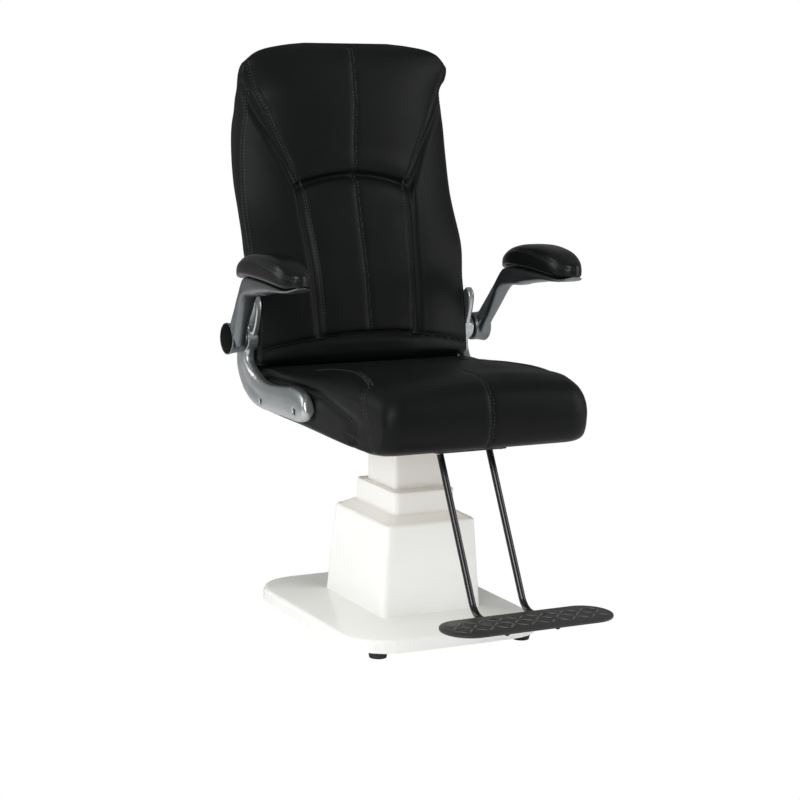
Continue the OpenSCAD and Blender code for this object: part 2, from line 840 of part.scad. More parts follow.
// Half width of the seat at a place along it
function seat_half_at(y) =
    let (t = min(max((y + seat_front) / (seat_side_y + seat_front), 0), 1))
    seat_front_w / 2 + (seat_half - seat_front_w / 2) * t * (2 - t);

// Stations across the seat: shares of the half width and of the edge radius, and whether
// the top seam runs there
seat_station_shares = [
    [1.00, 1.00, 0], [0.992, 0.60, 0], [0.975, 0.34, 0], [0.95, 0.14, 0],
    [0.915, 0.03, 0], [0.885, 0, 0], [0.87, 0, 1], [0.855, 0, 0], [0.66, 0, 0],
    [0.44, 0, 0], [0.22, 0, 0], [0.015, 0, 0]
];

module seat_form() {
    mid_z = seat_z + 0.45 * seat_t;
    top_h = 0.55 * seat_t;
    low_h = 0.45 * seat_t;
    place = function(p, s) let (
        along = (p[0] + seat_front) / (seat_front + seat_rear),
        up = max(p[1] - mid_z, 0) / top_h,
        down = max(mid_z - p[1], 0) / low_h,
        level = min(max((0.75 * seat_rear - p[0]) / (0.5 * seat_rear), 0), 1),
        back = min(max((p[0] + 0.57 * seat_front) / (0.64 * seat_front), 0), 1),
        top_r = seat_edge_r * (1 - (1 - seat_rear_edge_share) * along),
        low_r = seat_low_front_r + (seat_low_rear_r - seat_low_front_r) * back,
        crown = level * seat_crown * (1 - s[0] * s[0]),
        z = p[1] + up * (crown - s[1] * top_r - s[2] * seat_seam_depth)
            + down * s[1] * low_r,
        in = s[1] * seat_edge_r * (p[0] < 0 ? 0.6 * pow(-p[0] / seat_front, 4)
            : -0.2 * pow(p[0] / seat_rear, 4))
    ) [s[0] * seat_half_at(p[0]), p[0] + in, z];
    half = [for (s = seat_station_shares) [for (p = seat_outline) place(p, s)]];
    flip = function(r) [for (p = r) [-p[0], p[1], p[2]]];
    n = len(half);
    loft(concat([for (i = [0:n - 1]) flip(half[i])], [for (i = [n - 1:-1:0]) half[i]]));
}

module seat_cushion() {
    color([0.08, 0.08, 0.09]) at_column() difference() {
        seat_form();
        translate([0, 0, seat_z - cut]) linear_extrude(pan_t + cut + soft_gap)
            pan_outline(soft_gap);
        both_sides() {
            side_plate(soft_gap);
            foot_bolt_holes(bracket_bolt_r + soft_gap);
        }
        for (sx = [-1, 1], sy = [-1, 1])
            translate([sx * rest_bolt_x, sy * rest_bolt_y - tube_top_y, seat_z])
                cylinder(h = 2 * pan_t, r = plate_bolt_r + cut);
    }
}

// The back over its height, as tables of [share of height, value]
back_front_table = [
    [0.00, back_front + 0.10 * back_lean], [0.035, back_front + 0.02 * back_lean],
    [0.078, back_front + 0.035 * back_lean], [0.10, back_front + 0.06 * back_lean],
    [0.18, back_front + 0.13 * back_lean], [0.29, back_front + 0.25 * back_lean],
    [0.44, back_front + 0.49 * back_lean], [0.54, back_front + 0.62 * back_lean],
    [0.58, back_front + 0.73 * back_lean], [0.62, back_front + 0.72 * back_lean],
    [0.68, back_front + 0.75 * back_lean], [0.82, back_front + 0.74 * back_lean],
    [0.89, back_front + 0.81 * back_lean], [0.97, back_front + 0.89 * back_lean],
    [1.00, back_front + 1.08 * back_lean]
];
back_rear_table = [
    [0.00, back_front + 0.38 * back_lean + 0.13 * back_t],
    [0.06, back_front + 0.10 * back_lean + 0.73 * back_t],
    [0.17, back_front + 0.14 * back_lean + 0.785 * back_t],
    [0.37, back_front + 0.42 * back_lean + 0.68 * back_t],
    [0.47, back_front + 0.55 * back_lean + 0.83 * back_t],
    [0.56, back_front + 0.70 * back_lean + 0.95 * back_t],
    [0.65, back_front + 0.80 * back_lean + 1.00 * back_t],
    [0.74, back_front + 0.86 * back_lean + 1.03 * back_t],
    [0.80, back_front + 0.86 * back_lean + 1.00 * back_t],
    [0.89, back_front + 0.88 * back_lean + 0.68 * back_t],
    [0.95, back_front + 0.93 * back_lean + 0.46 * back_t],
    [1.00, back_front + 1.10 * back_lean + 0.12 * back_t]
];
// The column's axis lies behind the origin, which is midway between the footrest's front
// and the back's rear
rear_reach = max([for (r = back_rear_table) r[1]]) + cover_bulge;
column_y = (footplate_front - rear_reach) / 2;

back_width_table = [
    [0.00, 0.955 * back_low_half], [0.03, 0.985 * back_low_half], [0.06, back_low_half],
    [0.24, back_low_half], [0.36, back_half], [0.47, 0.988 * back_half],
    [0.56, 0.976 * back_half], [0.65, 0.966 * back_half], [0.74, 0.944 * back_half],
    [0.79, 0.928 * back_half], [0.84, 0.932 * back_half], [0.90, 0.955 * back_half],
    [0.925, 0.948 * back_half], [0.95, 0.89 * back_half], [0.965, 0.845 * back_half],
    [0.98, 0.755 * back_half], [0.994, 0.55 * back_half], [1.00, 0.38 * back_half]
];
back_low_share = 0.24;
back_setback_shares = [
    [0.00, 0.24], [0.08, 0.20], [0.20, 0.24], [0.36, 0.29], [0.53, 0.45], [0.84, 0.46],
    [0.93, 0.22], [1.00, 0.05]
];
function back_z_at(h) = back_z + h * back_h;
function front_at(h) = smooth(h, back_front_table);
function rear_at(h) = smooth(h, back_rear_table);
function half_at(h) =
    let (half = smooth(h, back_width_table))
    h > back_low_share ? half : min(half, back_low_half);

// Where the board lies: the face between the front upholstery and the rear cover
function split_at(h) = max(rear_at(h) - cover_t, front_at(h) + 0.35 * cover_t);

// Half width of the sewn middle panel, which ends in an arch under the headrest
panel_shares = [[0.08, 0.46], [0.38, 0.495], [0.53, 0.53], [0.62, 0.62], [0.86, 0.97]];
function panel_at(h) = lookup(h, panel_shares);
arch_share = 0.565;
arch_drop_share = 0.035;

// Front face of the upholstery at a share u of the half width
function sewn(u, h) =
    let (
        edge = back_t * smooth(h, back_setback_shares),
        side = pow(abs(u), 3.2) * edge,
        seam = exp(-pow((abs(u) - panel_at(h)) / 0.045, 2)),
        arch = abs(u) < panel_at(h) + 0.05
            ? exp(-pow((h - arch_share + arch_drop_share * u * u * 4) / 0.016, 2)) : 0,
        band = exp(-pow((h - 0.078) / 0.012, 2)),
        live = min(1, (1 - h) / 0.06)
    )
    front_at(h) + side + back_seam_depth * live * max(seam, 1.6 * arch, 1.3 * band);

back_levels = [
    0, 0.012, 0.035, 0.06, 0.078, 0.095, 0.12, 0.17, 0.22, 0.29, 0.36, 0.43, 0.49, 0.53,
    0.55, 0.565, 0.58, 0.61, 0.66, 0.72, 0.78, 0.84, 0.89, 0.925, 0.95, 0.97, 0.985, 0.996, 1
];
// Shares of the half width round one ring of the front face; they gather at the seam
function front_us(h) =
    let (
        p = min(panel_at(h), 0.88),
        half = [0.35 * p, 0.7 * p, p - 0.08, p - 0.035, p, p + 0.035, p + 0.08,
            (p + 1.065) / 2, 0.985, 1],
        n = len(half)
    )
    concat([for (i = [n - 1:-1:0]) -half[i]], [0], half);

module back_front_form() {
    ring = function(h) concat(
        [for (u = front_us(h)) [-u * half_at(h), sewn(u, h), back_z_at(h)]],
        [for (u = [1, 0.5, 0, -0.5, -1])
            [-u * half_at(h), max(split_at(h) - soft_gap, sewn(1, h) + 2 * soft_gap),
                back_z_at(h)]]
    );
    loft([for (h = back_levels) ring(h)]);
}

// Side outline of the board, from a low to a high share of the back's height
module board_side(low, high, grow) {
    steps = 16;
    hs = [for (i = [0:steps]) low + (high - low) * i / steps];
    polygon(concat(
        [for (h = hs) [split_at(h) - grow, back_z_at(h)]],
        [for (i = [steps:-1:0]) [split_at(hs[i]) + board_t + grow, back_z_at(hs[i])]]
    ));
}

module along_x(half) rotate([90, 0, 90]) translate([0, 0, -half]) linear_extrude(2 * half)
    children();

board_low = 0.05;
board_high = 0.9;
tongue_low = 0.105;
tongue_high = 0.20;
tab_ear_edge = 10;
tab_ear_end = 12;

// Ear of the board beside the upholstery, where the bracket's tab is bolted
module board_ear(grow) {
    x = back_low_half - ear_skin - ear_t;
    y0 = tab_bolts[1][0] - tab_ear_edge;
    z0 = tab_bolts[0][1] - tab_ear_end;
    z1 = tab_bolts[1][1] + tab_ear_end;
    y1 = split_at((z1 - back_z) / back_h) + board_t / 2;
    translate([x - grow, y0 - grow, z0 - grow])
        cube([ear_t + 2 * grow, y1 - y0 + 2 * grow, z1 - z0 + 2 * grow]);
    for (b = tab_bolts)
        translate([x - ear_nut_h - grow, b[0], b[1]]) rotate([0, 90, 0])
            cylinder(h = ear_nut_h + ear_t / 2 + grow, r = ear_nut_r + grow);
}

module board_form(grow) {
    half = 0.928 * back_half - board_edge;
    along_x(half + grow) board_side(board_low, board_high, grow);
    along_x(back_low_half - ear_skin + grow) board_side(tongue_low, tongue_high, grow);
}

module back_frame() {
    color("saddlebrown") at_column() difference() {
        union() {
            board_form(0);
            both_sides() board_ear(0);
        }
        both_sides() tab_bolt_holes(bracket_bolt_r + screw_gap);
    }
}

module back_cushion() {
    color([0.08, 0.08, 0.09]) at_column() difference() {
        back_front_form();
        board_form(soft_gap);
        both_sides() {
            board_ear(soft_gap);
            tab_bolt_holes(bracket_bolt_r + soft_gap);
        }
    }
}

// Rear cover: the upholstered shell behind the board
module back_cover() {
    us = [-1, -0.985, -0.9, -0.7, -0.4, 0, 0.4, 0.7, 0.9, 0.985, 1];
    ring = function(h) let (
            x = half_at(h), z = back_z_at(h), rear = max(rear_at(h), split_at(h) + 4),
            live = min(1, 8 * h, 8 * (1 - h))
        ) concat(
        [for (u = [-1, -0.5, 0, 0.5, 1]) [-u * x, split_at(h) + (1 - live) * 1, z]],
        [for (i = [len(us) - 1:-1:0]) let (u = us[i])
            [-u * x, abs(u) == 1 ? rear - 0.35 * cover_t * live
                : rear + cover_bulge * live * (1 - pow(u, 4)) - (abs(u) > 0.95 ? 2 : 0), z]]
    );
    color([0.1, 0.1, 0.11]) at_column() difference() {
        loft([for (h = back_levels) ring(h)]);
        board_form(soft_gap);
        both_sides() board_ear(soft_gap);
    }
}

// Centre line of a cast bracket, from the tip of its foot round the bend, past the pivot
// and up to the tip of its tab. Each row is [place, [y, z, half width]]: y as a share of
// the reach, z of the drop below the pivot or of the tab's height above it
bracket_shares = [
    [0.00, [-0.995, -0.99, 0.08]], [0.02, [-0.975, -0.985, 0.46]],
    [0.06, [-0.935, -0.97, 0.77]], [0.12, [-0.86, -0.95, 0.96]],
    [0.20, [-0.74, -0.945, 1.00]], [0.31, [-0.54, -0.985, 0.90]],
    [0.42, [-0.35, -1.01, 0.85]], [0.51, [-0.19, -0.985, 0.90]],
    [0.58, [-0.075, -0.88, 0.95]], [0.65, [0.005, -0.70, 0.90]],
    [0.72, [0.05, -0.47, 0.79]], [0.80, [0.045, -0.22, 0.71]],
    [0.86, [-0.01, 0.15, 0.66]], [0.92, [-0.055, 0.52, 0.63]],
    [0.97, [-0.085, 0.86, 0.46]], [1.00, [-0.09, 1.00, 0.08]]
];
bracket_line = [for (r = bracket_shares) let (s = r[1])
    [r[0], [pivot_y + s[0] * bracket_reach,
        pivot_z + s[1] * (s[1] > 0 ? bracket_tab_h : bracket_drop),
        s[2] * bracket_foot_h / 2]]];

// One ring of the bracket: flat towards the chair, round outside, with a soft groove
// along the outer face
function cast_ring(t, inner, thick, groove, across_power) =
    let (
        sides = 22,
        flat = 0.25,
        p = smooth(t, bracket_line),
        ahead = smooth(min(t + 0.01, 1), bracket_line),
        behind = smooth(max(t - 0.01, 0), bracket_line),
        run = [ahead[0] - behind[0], ahead[1] - behind[1]],
        d = run / norm(run)
    )
    [for (j = [0:sides - 1])
        let (
            a = 360 * (j + 0.5) / sides,
            across = p[2] * bend(cos(a), across_power),
            out = bend(sin(a), sin(a) < 0 ? flat : 0.7),
            dip = sin(a) > 0 ? groove * exp(-pow(cos(a) / 0.34, 2)) : 0
        )
        [inner + thick / 2 + (thick / 2) * out - dip,
            p[0] + d[1] * across, p[1] - d[0] * across]];

module bracket_form() {
    steps = 44;
    ramp = function(t, low, high) min(max((t - low) / (high - low), 0), 1);
    // The rings lie closer together towards both tips, which rounds them
    loft([for (i = [0:steps])
        let (
            t = (1 - cos(180 * i / steps)) / 2,
            end = min(1, t / 0.03, (1 - t) / 0.03),
            inner = bracket_foot_x + (bracket_tab_x - bracket_foot_x) * ramp(t, 0.56, 0.70),
            thick = bracket_t + (bracket_tab_t - bracket_t) * ramp(t, 0.78, 0.90),
            groove = bracket_groove * ramp(t, 0.40, 0.48) * (1 - ramp(t, 0.76, 0.84))
        )
        cast_ring(t, inner, thick * (0.8 + 0.2 * end), groove, 1 - 0.25 * ramp(t, 0, 0.2))]);
}

// Right side bracket: foot on the seat, bend, pivot boss, and tab on the back
module bracket_body() {
    hole = bracket_t + boss_w + ear_t;
    difference() {
        union() {
            bracket_form();
            translate([boss_x, pivot_y, pivot_z]) rotate([0, 90, 0])
                cylinder(h = boss_w, r = boss_d / 2);
        }
        translate([boss_x - cut, pivot_y, pivot_z]) rotate([0, 90, 0])
            cylinder(h = boss_w + 2 * cut, r = pin_r + pin_gap);
        for (b = foot_bolts)
            translate([bracket_foot_x - cut, b[0], b[1]]) rotate([0, 90, 0]) {
                cylinder(h = hole, r = bracket_bolt_r + screw_gap);
                translate([0, 0, cut + bracket_sink * bracket_t])
                    cylinder(h = bracket_t, r = bracket_head_r + head_gap);
            }
        for (b = tab_bolts)
            translate([bracket_tab_x - cut, b[0], b[1]]) rotate([0, 90, 0]) {
                cylinder(h = hole, r = bracket_bolt_r + screw_gap);
                translate([0, 0, cut + bracket_sink * bracket_tab_t])
                    cylinder(h = bracket_t, r = bracket_head_r + head_gap);
            }
    }
}

module left_bracket() color("silver") at_column() bracket_body();
module right_bracket() color("silver") at_column() scale([-1, 1, 1]) bracket_body();

// Bolts through both brackets: two in each foot and two in each tab
module bracket_bolts() {
    grip = ear_skin + ear_t + ear_nut_h;
    color("dimgray") at_column() both_sides() {
        for (b = foot_bolts)
            translate([bracket_foot_x + bracket_sink * bracket_t, b[0], b[1]])
                rotate([0, -90, 0])
                    button_screw(bracket_bolt_r, bracket_sink * bracket_t + grip,
                        bracket_head_r, bracket_head_h);
        for (b = tab_bolts)
            translate([bracket_tab_x + bracket_sink * bracket_tab_t, b[0], b[1]])
                rotate([0, -90, 0])
                    button_screw(bracket_bolt_r, bracket_sink * bracket_tab_t + grip,
                        bracket_head_r, bracket_head_h);
    }
}

// Headed pins on which the armrests turn
module pivot_pins() {
    head_x = hub_end - head_pocket + seat_gap;
    color("gray") at_column() both_sides()
        translate([boss_x, pivot_y, pivot_z]) rotate([0, 90, 0]) {
            cylinder(h = head_x - boss_x + pin_head_h / 2, r = pin_r);
            translate([0, 0, head_x - boss_x]) cylinder(h = pin_head_h, r = pin_head_r);
        }
}

module pivot_washers() {
    color("black") at_column() both_sides()
        translate([washer_x, pivot_y, pivot_z]) rotate([0, 90, 0]) difference() {
            cylinder(h = washer_t, r = boss_d / 2 - washer_step);
            translate([0, 0, -cut]) cylinder(h = washer_t + 2 * cut, r = pin_r + screw_gap);
        }
}

// The lever between its rear edge, which becomes its top under the pad, and its front
// edge. Each row is [place, [rear y, rear z, front y, front z, lean, half width]]: the
// places from the pivot as shares of the reach and rise, the lean of the pad's distance
// outside the hub, and the half width of the pad's
lever_shares = [
    [0.00, [0.038, 0.04, -0.085, -0.09, 0, 0.38]],
    [0.09, [0.003, 0.138, -0.138, 0.138, 0.11, 0.405]],
    [0.18, [-0.033, 0.237, -0.162, 0.237, 0.23, 0.405]],
    [0.27, [-0.082, 0.368, -0.192, 0.368, 0.32, 0.45]],
    [0.36, [-0.131, 0.50, -0.223, 0.50, 0.39, 0.49]],
    [0.45, [-0.179, 0.632, -0.251, 0.632, 0.48, 0.535]],
    [0.52, [-0.226, 0.776, -0.282, 0.711, 0.55, 0.56]],
    [0.58, [-0.269, 0.921, -0.323, 0.75, 0.61, 0.585]],
    [0.63, [-0.313, 1.026, -0.387, 0.77, 0.68, 0.607]],
    [0.69, [-0.415, 1.070, -0.462, 0.789, 0.77, 0.643]],
    [0.75, [-0.528, 1.077, -0.533, 0.836, 0.86, 0.69]],
    [0.82, [-0.644, 1.076, -0.644, 0.888, 0.95, 0.738]],
    [0.88, [-0.746, 1.069, -0.746, 0.934, 1, 0.786]],
    [0.93, [-0.862, 1.051, -0.849, 0.961, 1, 0.81]],
    [0.97, [-0.951, 1.037, -0.938, 0.987, 1, 0.738]],
    [0.99, [-0.997, 1.066, -0.99, 1.026, 1, 0.524]],
    [1.00, [-1.015, 1.092, -1.008, 1.066, 1, 0.238]]
];

// Bed of the pad along the lever, as shares of the reach and rise
bed_shares = [
    [-1.015, 1.094], [-0.997, 1.068], [-0.951, 1.039], [-0.862, 1.053], [-0.746, 1.071],
    [-0.644, 1.078], [-0.528, 1.079], [-0.415, 1.072], [-0.313, 1.028], [-0.26, 0.99],
    [-0.2, 0.95]
];
function bed_at(y) = pivot_z + arm_rise * smooth((y - pivot_y) / arm_reach, bed_shares);

module lever_form() {
    steps = 31;
    sides = 22;
    tip_shares = [0.94, 0.955, 0.97, 0.98, 0.99, 1];
    ramp = function(t, low, high) min(max((t - low) / (high - low), 0), 1);
    loft([for (t = concat([for (i = [0:steps - 1]) 0.93 * i / (steps - 1)], tip_shares))
        let (
            s = smooth(t, lever_shares),
            rear = [pivot_y + s[0] * arm_reach, pivot_z + s[1] * arm_rise],
            front = [pivot_y + s[2] * arm_reach, pivot_z + s[3] * arm_rise],
            groove = lever_groove * ramp(t, 0.04, 0.14) * (1 - ramp(t, 0.60, 0.72)),
            square = 0.75 - 0.4 * ramp(t, 0.5, 0.65)
        )
        [for (j = [0:sides - 1])
            let (
                a = 360 * (j + 0.5) / sides,
                across = bend(cos(a), cos(a) > 0 ? square : 0.75),
                p = (rear + front) / 2 + across * (rear - front) / 2,
                half = s[5] * pad_w / 2 * bend(sin(a), 0.65),
                dip = groove * sign(sin(a)) * exp(-pow(cos(a) / 0.4, 2))
            )
            [hub_mid + s[4] * pad_out + half - dip, p[0], min(p[1], bed_at(p[0]))]]]);
}

// Lever of one armrest: flared hub, leaning arm, and the tray under the pad
module lever_body() {
    difference() {
        union() {
            lever_form();
            translate([hub_x, pivot_y, pivot_z]) rotate([0, 90, 0]) rotate_extrude()
                polygon([[0, 0], [hub_r - hub_edge, 0], [hub_r, hub_edge],
                    [hub_r, 0.5 * hub_w], [flare_r - hub_edge, 0.85 * hub_w],
                    [flare_r, 0.94 * hub_w], [flare_r - hub_edge, hub_w], [0, hub_w]]);
        }
        translate([hub_x - cut, pivot_y, pivot_z]) rotate([0, 90, 0])
            cylinder(h = hub_w + 2 * cut, r = bush_r + pin_gap);
        translate([hub_x - 2 * hub_w, pivot_y, pivot_z]) rotate([0, 90, 0])
            cylinder(h = 2 * hub_w, r = hub_r + cut);
        translate([hub_end - head_pocket, pivot_y, pivot_z]) rotate([0, 90, 0])
            cylinder(h = hub_w, r = pin_head_r + seat_gap);
        translate([hub_end - cap_depth, pivot_y, pivot_z]) rotate([0, 90, 0])
            cylinder(h = hub_w, r = cap_r + seat_gap);
        for (py = pad_screw_ys)
            translate([pad_x, py, pivot_z]) {
                cylinder(h = 2 * arm_rise, r = pad_screw_r + screw_gap);
                cylinder(h = bed_at(py) - pivot_z - pad_screw_grip,
                    r = pad_screw_head_r + head_gap);
            }
    }
}

// The bush is nylon, and stops short of the pin's head
module bush_body() {
    translate([hub_x, pivot_y, pivot_z]) rotate([0, 90, 0]) difference() {
        cylinder(h = hub_w - head_pocket - seat_gap, r = bush_r);
        translate([0, 0, -cut]) cylinder(h = hub_w, r = pin_r + pin_gap);
    }
}

module cap_body() {
    translate([hub_end - cap_depth + seat_gap, pivot_y, pivot_z]) rotate([0, 90, 0])
        rotate_extrude()
            polygon([[0, 0], [cap_r, 0], [cap_r, cap_depth - hub_edge],
                [cap_r - hub_edge, cap_depth], [0.7 * cap_r, cap_depth + 0.6 * cap_rise],
                [0, cap_depth + cap_rise]]);
}

// Crowned armrest pad, round at both ends, on its curved bed
pad_rise_shares = [
    [0.00, 0.74], [0.10, 0.79], [0.20, 0.82], [0.30, 0.87], [0.45, 0.95], [0.65, 1.00],
    [0.85, 1.00], [0.95, 0.96], [1.00, 0.88]
];

module pad_form() {
    steps = 22;
    sides = 18;
    loft([for (i = [0:steps])
        let (
            s = (1 - cos(180 * i / steps)) / 2,
            y = pad_rear - pad_l * s,
            plan = sqrt(max(1 - pow(abs(2 * s - 1), 7), 0.01)),
            half = pad_w / 2 * plan * (0.95 + 0.05 * s),
            rise = pad_t * smooth(s, pad_rise_shares) * (0.6 + 0.4 * plan)
        )
        [for (j = [0:sides - 1])
            let (
                a = 360 * j / sides,
                lift = sin(a) < 0 ? 0.42 * (1 + bend(sin(a), 0.3))
                    : 0.42 + 0.58 * bend(sin(a), 0.8)
            )
            [pad_x - half * bend(cos(a), 0.55), y, bed_at(y) + soft_gap + lift * rise]]]);
}

module pad_body() {
    difference() {
        pad_form();
        for (py = pad_screw_ys)
            translate([pad_x, py, bed_at(py)])
                cylinder(h = pad_screw_h - pad_screw_grip + seat_gap, r = pad_screw_r + soft_gap);
    }
}

module pad_screws_body() {
    for (py = pad_screw_ys)
        translate([pad_x, py, bed_at(py) - pad_screw_grip])
            button_screw(pad_screw_r, pad_screw_h, pad_screw_head_r, pad_screw_head_h);
}

module right_side() at_column() scale([-1, 1, 1]) children();
module left_side() at_column() children();

module right_lever() color("silver") right_side() lever_body();
module right_bush() color("ivory") right_side() bush_body();
module right_cap() color("black") right_side() cap_body();
module right_pad() color([0.08, 0.08, 0.09]) right_side() pad_body();
module right_pad_screws() color("dimgray") right_side() pad_screws_body();
module left_lever() color("silver") left_side() lever_body();
module left_bush() color("ivory") left_side() bush_body();
module left_cap() color("black") left_side() cap_body();
module left_pad() color([0.08, 0.08, 0.09]) left_side() pad_body();
module left_pad_screws() color("dimgray") left_side() pad_screws_body();

// Run of one footrest tube: the level foot under the footplate, the bend, the slanted leg
tube_sides = 24;
bend_steps = 8;
tube_leg = norm([tube_bend_y - tube_top_y, seat_plate_z - tube_low_z]) - bend_set;
module tube_run(r, over) {
    y0 = -tube_bend_y - bend_set;
    z0 = tube_low_z + tube_bend_r;
    arc = [for (i = [0:bend_steps])
        let (a = slope * i / bend_steps)
        [y0 + tube_bend_r * sin(a), z0 - tube_bend_r * cos(a), a]];
    last = arc[bend_steps];
    reach = tube_leg + over;
    path = concat(
        [[-tube_front - over, tube_low_z, 0]], arc,
        [[last[0] + reach * cos(slope), last[1] + reach * sin(slope), slope]]
    );
    loft([for (p = path) [for (j = [0:tube_sides - 1])
        let (a = 360 * j / tube_sides)
        [r * cos(a), p[0] - r * sin(p[2]) * sin(a), p[1] + r * cos(p[2]) * sin(a)]]]);
}

// Footrest frame: two bent tubes welded to a drilled plate under the seat pan
module footrest_frame() {
    color([0.12, 0.12, 0.13]) at_column() difference() {
        union() {
            for (side = [-1, 1]) translate([side * tube_x, 0, 0]) difference() {
                tube_run(tube_r, tube_d);
                tube_run(tube_r - tube_wall, 2 * tube_d);
            }
            translate([0, -tube_top_y, seat_plate_z])
                bar(rest_plate_w, rest_plate_l, seat_plate_t, column_corner_r);
        }
        translate([0, -tube_top_y, seat_z + seat_z / 2])
            cube([seat_front_w, seat_front, seat_z], center = true);
        translate([0, -tube_front - tube_d, tube_low_z])
            cube([footplate_w, 2 * tube_d, 2 * tube_d], center = true);
        for (sx = [-1, 1], sy = [-1, 1])
            translate([sx * rest_bolt_x, sy * rest_bolt_y - tube_top_y, seat_plate_z - cut])
                cylinder(h = seat_plate_t + 2 * cut, r = plate_bolt_r + screw_gap);
        for (p = plate_bolt_places)
            translate([p[0], p[1], tube_low_z - tube_d])
                cylinder(h = 2 * tube_d, r = plate_bolt_r + screw_gap);
    }
}

plate_bolt_shares = [0.45, 0.8];
plate_bolt_places = [for (sx = [-1, 1], share = plate_bolt_shares)
    [sx * tube_x, share * footplate_l - footplate_front]];

module footrest_bolts() {
    color("silver") at_column() for (sx = [-1, 1], sy = [-1, 1])
        translate([sx * rest_bolt_x, sy * rest_bolt_y - tube_top_y, seat_plate_z])
            button_screw(plate_bolt_r, seat_plate_t + pan_t, 2 * plate_bolt_r, plate_bolt_r);
}

// Plastic plugs in the tubes' front ends
module tube_plugs() {
    color("black") at_column() for (side = [-1, 1])
        translate([side * tube_x, -tube_front, tube_low_z]) rotate([90, 0, 0]) {
            translate([0, 0, -plug_h])
                cylinder(h = plug_h + cut / 2, r = tube_r - tube_wall - screw_gap);
            cylinder(h = plug_lip, r = tube_r);
        }
}

// Footplate: a plate with round ends and a raised diamond tread
module footplate() {
    r = footplate_l / 2;
    run = footplate_w - footplate_l;
    mid = r - footplate_front;
    rows = floor((footplate_l - 2 * tread_margin) / (tread_pitch / 2));
    columns = floor((footplate_w - 2 * tread_margin) / tread_pitch);
    color([0.2, 0.2, 0.21]) at_column() translate([0, mid, footplate_z - footplate_t])
        difference() {
            union() {
                linear_extrude(footplate_t) {
                    square([run, footplate_l], center = true);
                    for (side = [-1, 1]) translate([side * run / 2, 0]) circle(r);
                }
                for (i = [0:rows - 1], j = [0:columns - 1])
                    let (
                        x = (j - (columns - 1) / 2 + (i % 2 == 0 ? 0.25 : -0.25)) * tread_pitch,
                        y = (i - (rows - 1) / 2) * tread_pitch / 2,
                        reach = norm([max(abs(x) - run / 2, 0), y])
                    )
                    if (reach < r - tread_margin)
                        translate([x, y, footplate_t]) linear_extrude(tread_h)
                            rotate(45 * (i % 2 == 0 ? 1 : -1))
                                square([tread_w, tread_w / 4], center = true);
            }
            for (p = plate_bolt_places)
                translate([p[0], p[1] - mid, -cut])
                    cylinder(h = footplate_t + tread_h + 2 * cut, r = plate_bolt_r + screw_gap);
            for (p = plate_bolt_places)
                translate([p[0], p[1] - mid, footplate_t])
                    cylinder(h = tread_h + cut, r = 2 * plate_bolt_r + cut);
        }
}

// Button-head screws that hold the footplate to the tubes
module footplate_screws() {
    color("silver") at_column() for (p = plate_bolt_places)
        translate([p[0], p[1], footplate_z]) rotate([180, 0, 0])
            button_screw(plate_bolt_r, footplate_t + tube_d, 2 * plate_bolt_r,
                plate_bolt_r / 2);
}

base_plate();
base_shell();
shell_screws();
rubber_feet();
foot_screws();
power_gland();
column_housing();
housing_wiper();
mast();
mast_bolts();
mast_glides();
actuator_gearbox();
actuator_motor();
actuator_tube();
control_box();
column();
column_glides();
actuator_rod();
rod_pin();
seat_plate();
seat_plate_bolts();
seat_pan();
seat_side_plates();
seat_cushion();
back_frame();
back_cushion();
back_cover();
right_bracket();
left_bracket();
bracket_bolts();
pivot_pins();
pivot_washers();
footrest_frame();
footrest_bolts();
tube_plugs();
footplate();
footplate_screws();
right_lever();
right_bush();
right_cap();
right_pad();
right_pad_screws();
left_lever();
left_bush();
left_cap();
left_pad();
left_pad_screws();
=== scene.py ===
# %% [markdown]
# # An ophthalmic examination chair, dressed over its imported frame
# The frame already holds every rigid piece at its true size and place. This lesson gives
# those pieces their finishes, and builds the upholstery that a maker would cut, pad and
# sew over them. Everything is in metres, in the frame's own axes: Z is up, the sitter
# faces -Y, and +X is the sitter's left.

import math

import bmesh
import bpy
import numpy as np
from mathutils import Matrix, Vector
from mathutils.bvhtree import BVHTree


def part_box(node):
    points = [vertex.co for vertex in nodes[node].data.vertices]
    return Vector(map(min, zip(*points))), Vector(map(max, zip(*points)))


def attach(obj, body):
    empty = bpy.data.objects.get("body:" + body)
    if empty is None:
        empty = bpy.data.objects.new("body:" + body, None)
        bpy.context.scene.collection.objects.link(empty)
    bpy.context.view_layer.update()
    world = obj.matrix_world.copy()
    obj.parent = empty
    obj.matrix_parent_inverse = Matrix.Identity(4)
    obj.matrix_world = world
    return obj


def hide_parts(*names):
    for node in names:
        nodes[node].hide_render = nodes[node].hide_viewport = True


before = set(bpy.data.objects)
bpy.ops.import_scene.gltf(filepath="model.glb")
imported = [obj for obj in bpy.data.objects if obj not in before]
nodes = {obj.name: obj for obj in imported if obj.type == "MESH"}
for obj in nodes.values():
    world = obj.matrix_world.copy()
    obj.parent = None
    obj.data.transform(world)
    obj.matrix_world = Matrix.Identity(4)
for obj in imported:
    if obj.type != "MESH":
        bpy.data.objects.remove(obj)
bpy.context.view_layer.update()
MM = 0.001
low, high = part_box("column")
AXIS_Y = (low.y + high.y) / 2

# %% [markdown]
# ## The camera
# A product photographer stands well back with a long lens, so the chair's sides stay
# nearly parallel. The camera is placed by the angle round the chair, the angle above the
# floor, a slight roll and the distance, and its matrix is built from those, so that it
# can be checked against the picture's own measurements.

